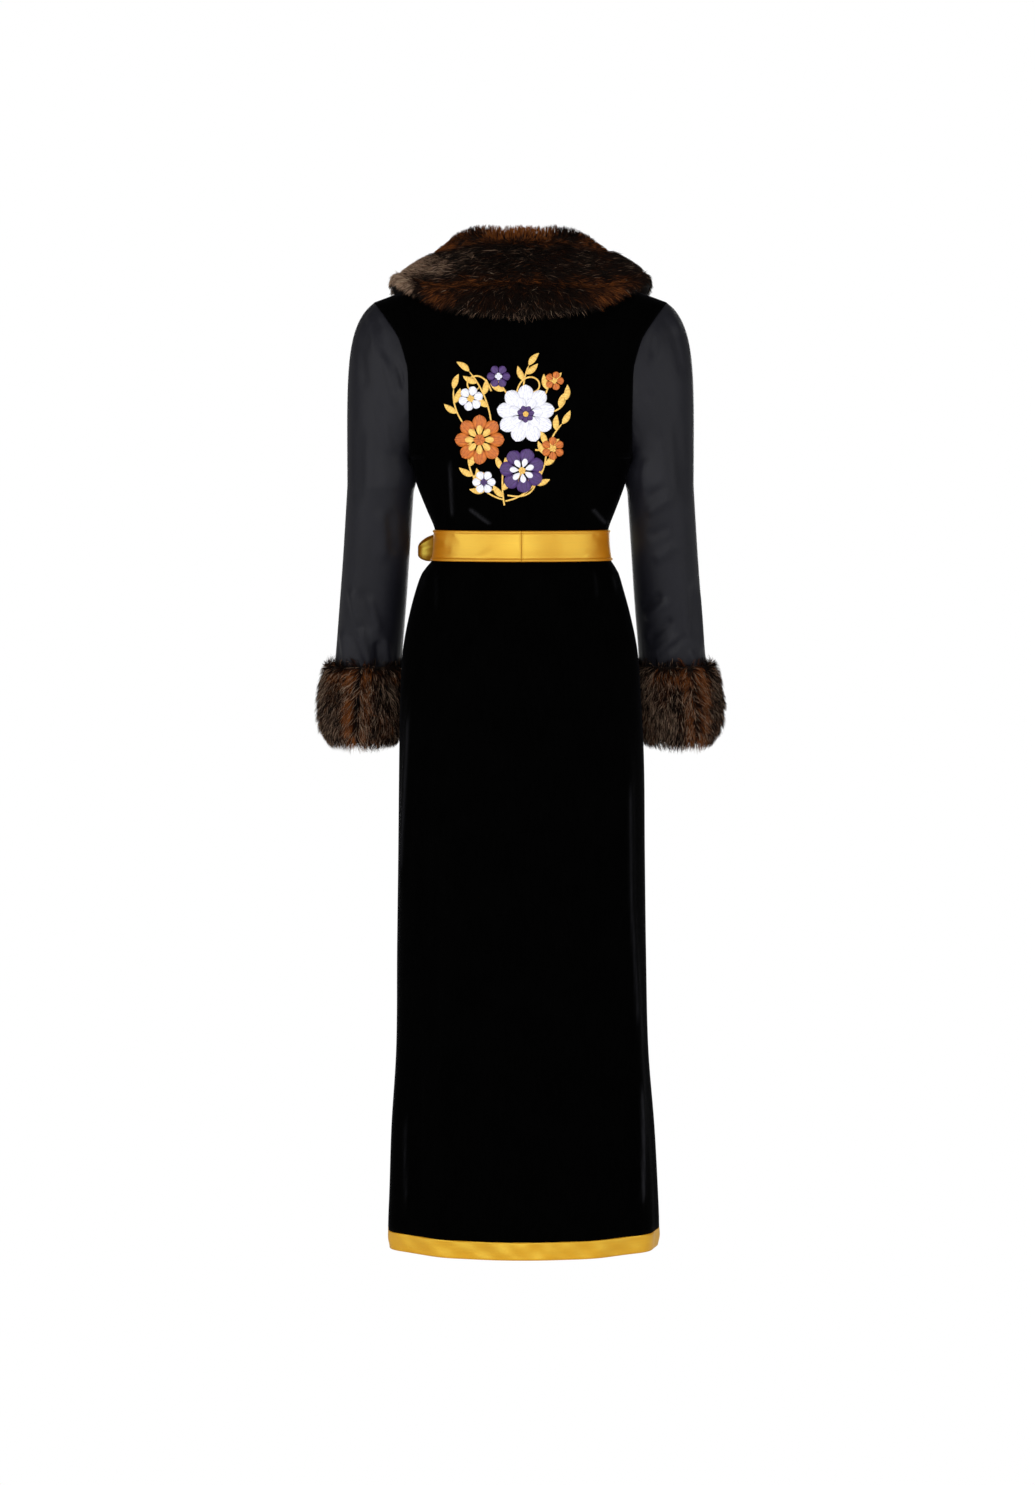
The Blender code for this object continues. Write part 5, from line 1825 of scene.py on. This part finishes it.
def petals(flower):
    for ring in flower.rings:
        for number in range(ring.petals):
            heading = flower.turn + 360 * number / ring.petals
            way = np.radians(heading)
            x = flower.x + ring.start * np.cos(way)
            y = flower.y + ring.start * np.sin(way)
            layer = ring.layer + number % 2 * PETAL_LAP
            yield Stitching(ring.thread, "petal", x, y, heading, ring.length, ring.width, 0, layer)


def stem_and_leaves(sprig):
    yield Stitching("gold", "stem", sprig.x, sprig.y, sprig.heading, sprig.length, STEM_WIDTH, sprig.bend, 0)
    first, bend = math.radians(sprig.heading), math.radians(sprig.bend)
    side = 1
    for share in sprig.leaves:
        way = first + bend * share
        x = sprig.x + sprig.length / bend * (math.sin(way) - math.sin(first))
        y = sprig.y + sprig.length / bend * (math.cos(first) - math.cos(way))
        turn = side * LEAF_TURN if share < 1 else 0
        heading = math.degrees(way) + turn
        yield Stitching("gold", "leaf", x, y, heading, LEAF_LENGTH, LEAF_WIDTH, -side * LEAF_BEND, 1)
        side = -side


def stitch_places(stitching):
    """Rows of places on the cloth for one stitched shape, its heights over the cloth and its thread map."""
    rows = LEAF_ROWS if stitching.shape in OUTLINES else STEM_ROWS
    u, v = np.linspace(-1, 1, STITCH_COLUMNS + 1), np.linspace(0, 1, rows + 1)
    turned = v**CURL_TIGHTENING if stitching.shape == "curl" else v
    way = np.radians(stitching.heading + stitching.bend * turned)
    ahead = np.stack((np.cos(way), np.sin(way)), axis=-1)
    steps = (ahead[:-1] + ahead[1:]) / 2 * stitching.length / rows
    line = np.concatenate((np.zeros((1, 2)), np.cumsum(steps, axis=0))) + (stitching.x, stitching.y)
    half = stitching.width / 2 * stitch_widths(stitching.shape, v)
    right = np.stack((ahead[:, 1], -ahead[:, 0]), axis=-1)
    places = line[:, None] + right[:, None] * (half[:, None] * u)[..., None]
    crown = STITCH_CROWN * np.minimum(1, 2 * half / CROWN_WIDTH)[:, None] * (1 - u**2)
    flat = np.stack(np.broadcast_arrays((v * stitching.length)[:, None], half[:, None] * u), axis=-1)
    if stitching.shape == "petal":
        flat = flat[..., ::-1]
    heights = STITCH_WALL + STITCH_LAYER * stitching.layer + crown
    return EMBROIDERY_MIDDLE + places * MILLIMETRE, heights, flat * MILLIMETRE


def add_embroidery(thread, finish, cloth):
    """All stitched shapes of one thread colour, laid on the cloth."""
    stitched = bmesh.new()
    flats = []
    shapes = [petal for flower in FLOWERS for petal in petals(flower)]
    shapes += [shape for sprig in SPRIGS for shape in stem_and_leaves(sprig)]
    shapes += CURLS
    for shape in shapes:
        if shape.thread != thread:
            continue
        places, heights, flat = stitch_places(shape)
        rows, columns = heights.shape
        grid = bmesh.ops.create_grid(stitched, x_segments=columns - 1, y_segments=rows - 1, size=0.5)
        for vertex, (x, z), height in zip(grid["verts"], places.reshape(-1, 2), heights.ravel()):
            below, normal, _, _ = cloth.ray_cast(Vector((x, -1, z)), Vector((0, 1, 0)))
            vertex.co = below + normal * height
        flats.append(flat.reshape(-1, 2))
    mesh = smooth_mesh(stitched, f"embroidery_{thread}")
    set_threads(mesh, np.concatenate(flats))
    piece = new_piece(mesh.name, mesh, finish)
    add_wall(piece, STITCH_WALL, -1)
    return piece


back_surface = BVHTree.FromObject(back_cloth, bpy.context.evaluated_depsgraph_get())
embroidery = [add_embroidery(thread, finish, back_surface) for thread, finish in thread_finishes.items()]

# Floor, light and camera
FLOOR_GAP = 0.002
FLOOR_SIZE = 60.0
CAMERA_PLACE = (-0.0042, -5.6, -0.25)
CAMERA_TARGET = (-0.0042, 0.0, -0.6587)
CAMERA_LENS = 97.2
CAMERA_SENSOR = 36
WORLD_LIGHT = 0.20
FLOOR_LIGHT = 0.24
Light = namedtuple("Light", "name place size power")
LIGHTS = (
    Light("back_left_light", (-3.85, -2.7, -0.4), (4.0, 3.4), 118),
    Light("back_right_light", (3.85, -2.7, -0.4), (4.0, 3.4), 98),
    Light("back_light", (-0.2, -4.8, -0.1), (3.4, 2.4), 96),
    Light("front_light", (0.2, 4.8, -0.1), (3.0, 2.4), 120),
    Light("top_light", (0.3, -0.6, 2.6), (1.6, 1.6), 12),
)


def look_from(place, target):
    return (Vector(target) - Vector(place)).to_track_quat("-Z", "Y").to_euler()


def white_to_camera(tree, dim, output, kind):
    """Shows plain white to the camera, and leaves the dim shader to light the object."""
    white = tree.nodes.new(kind)
    white.inputs["Color"].default_value = (1, 1, 1, 1)
    white.inputs["Strength"].default_value = 1.0
    path = tree.nodes.new("ShaderNodeLightPath")
    choice = tree.nodes.new("ShaderNodeMixShader")
    tree.links.new(path.outputs["Is Camera Ray"], choice.inputs[0])
    tree.links.new(dim.outputs[0], choice.inputs[1])
    tree.links.new(white.outputs[0], choice.inputs[2])
    tree.links.new(choice.outputs[0], tree.nodes[output].inputs["Surface"])


def add_floor():
    ground = bmesh.new()
    bmesh.ops.create_grid(ground, x_segments=1, y_segments=1, size=FLOOR_SIZE / 2)
    bmesh.ops.translate(ground, verts=ground.verts, vec=(0, 0, cad_box[0][2] - FLOOR_GAP))
    mesh = smooth_mesh(ground, "floor")
    pale = Finish("pale_floor", {
        "Base Color": (0.9, 0.9, 0.9, 1),
        "Roughness": 0.9,
        "Specular IOR Level": 0.0,
        "Emission Color": (1, 1, 1, 1),
        "Emission Strength": FLOOR_LIGHT,
    })
    white_to_camera(pale.tree, pale.shader, "Material Output", "ShaderNodeEmission")
    mesh.materials.append(pale.material)
    add_object("floor", mesh)


def add_light(light):
    """A soft light that faces the middle of the picture."""
    lamp = bpy.data.lights.new(light.name, "AREA")
    lamp.shape = "RECTANGLE"
    lamp.size, lamp.size_y = light.size
    lamp.energy = light.power
    lit = add_object(light.name, lamp)
    lit.location = light.place
    lit.rotation_euler = look_from(light.place, CAMERA_TARGET)


def add_world():
    world = bpy.data.worlds.new("studio")
    bpy.context.scene.world = world
    world.use_nodes = True
    dim = world.node_tree.nodes["Background"]
    dim.inputs["Color"].default_value = (1, 1, 1, 1)
    dim.inputs["Strength"].default_value = WORLD_LIGHT
    white_to_camera(world.node_tree, dim, "World Output", "ShaderNodeBackground")


def add_camera():
    lens = bpy.data.cameras.new("camera")
    lens.lens = CAMERA_LENS
    lens.sensor_width = CAMERA_SENSOR
    camera = add_object("camera", lens)
    camera.location = CAMERA_PLACE
    camera.rotation_euler = look_from(CAMERA_PLACE, CAMERA_TARGET)
    bpy.context.scene.camera = camera


add_floor()
add_world()
add_camera()
for light in LIGHTS:
    add_light(light)
bpy.context.scene.view_settings.view_transform = "Standard"
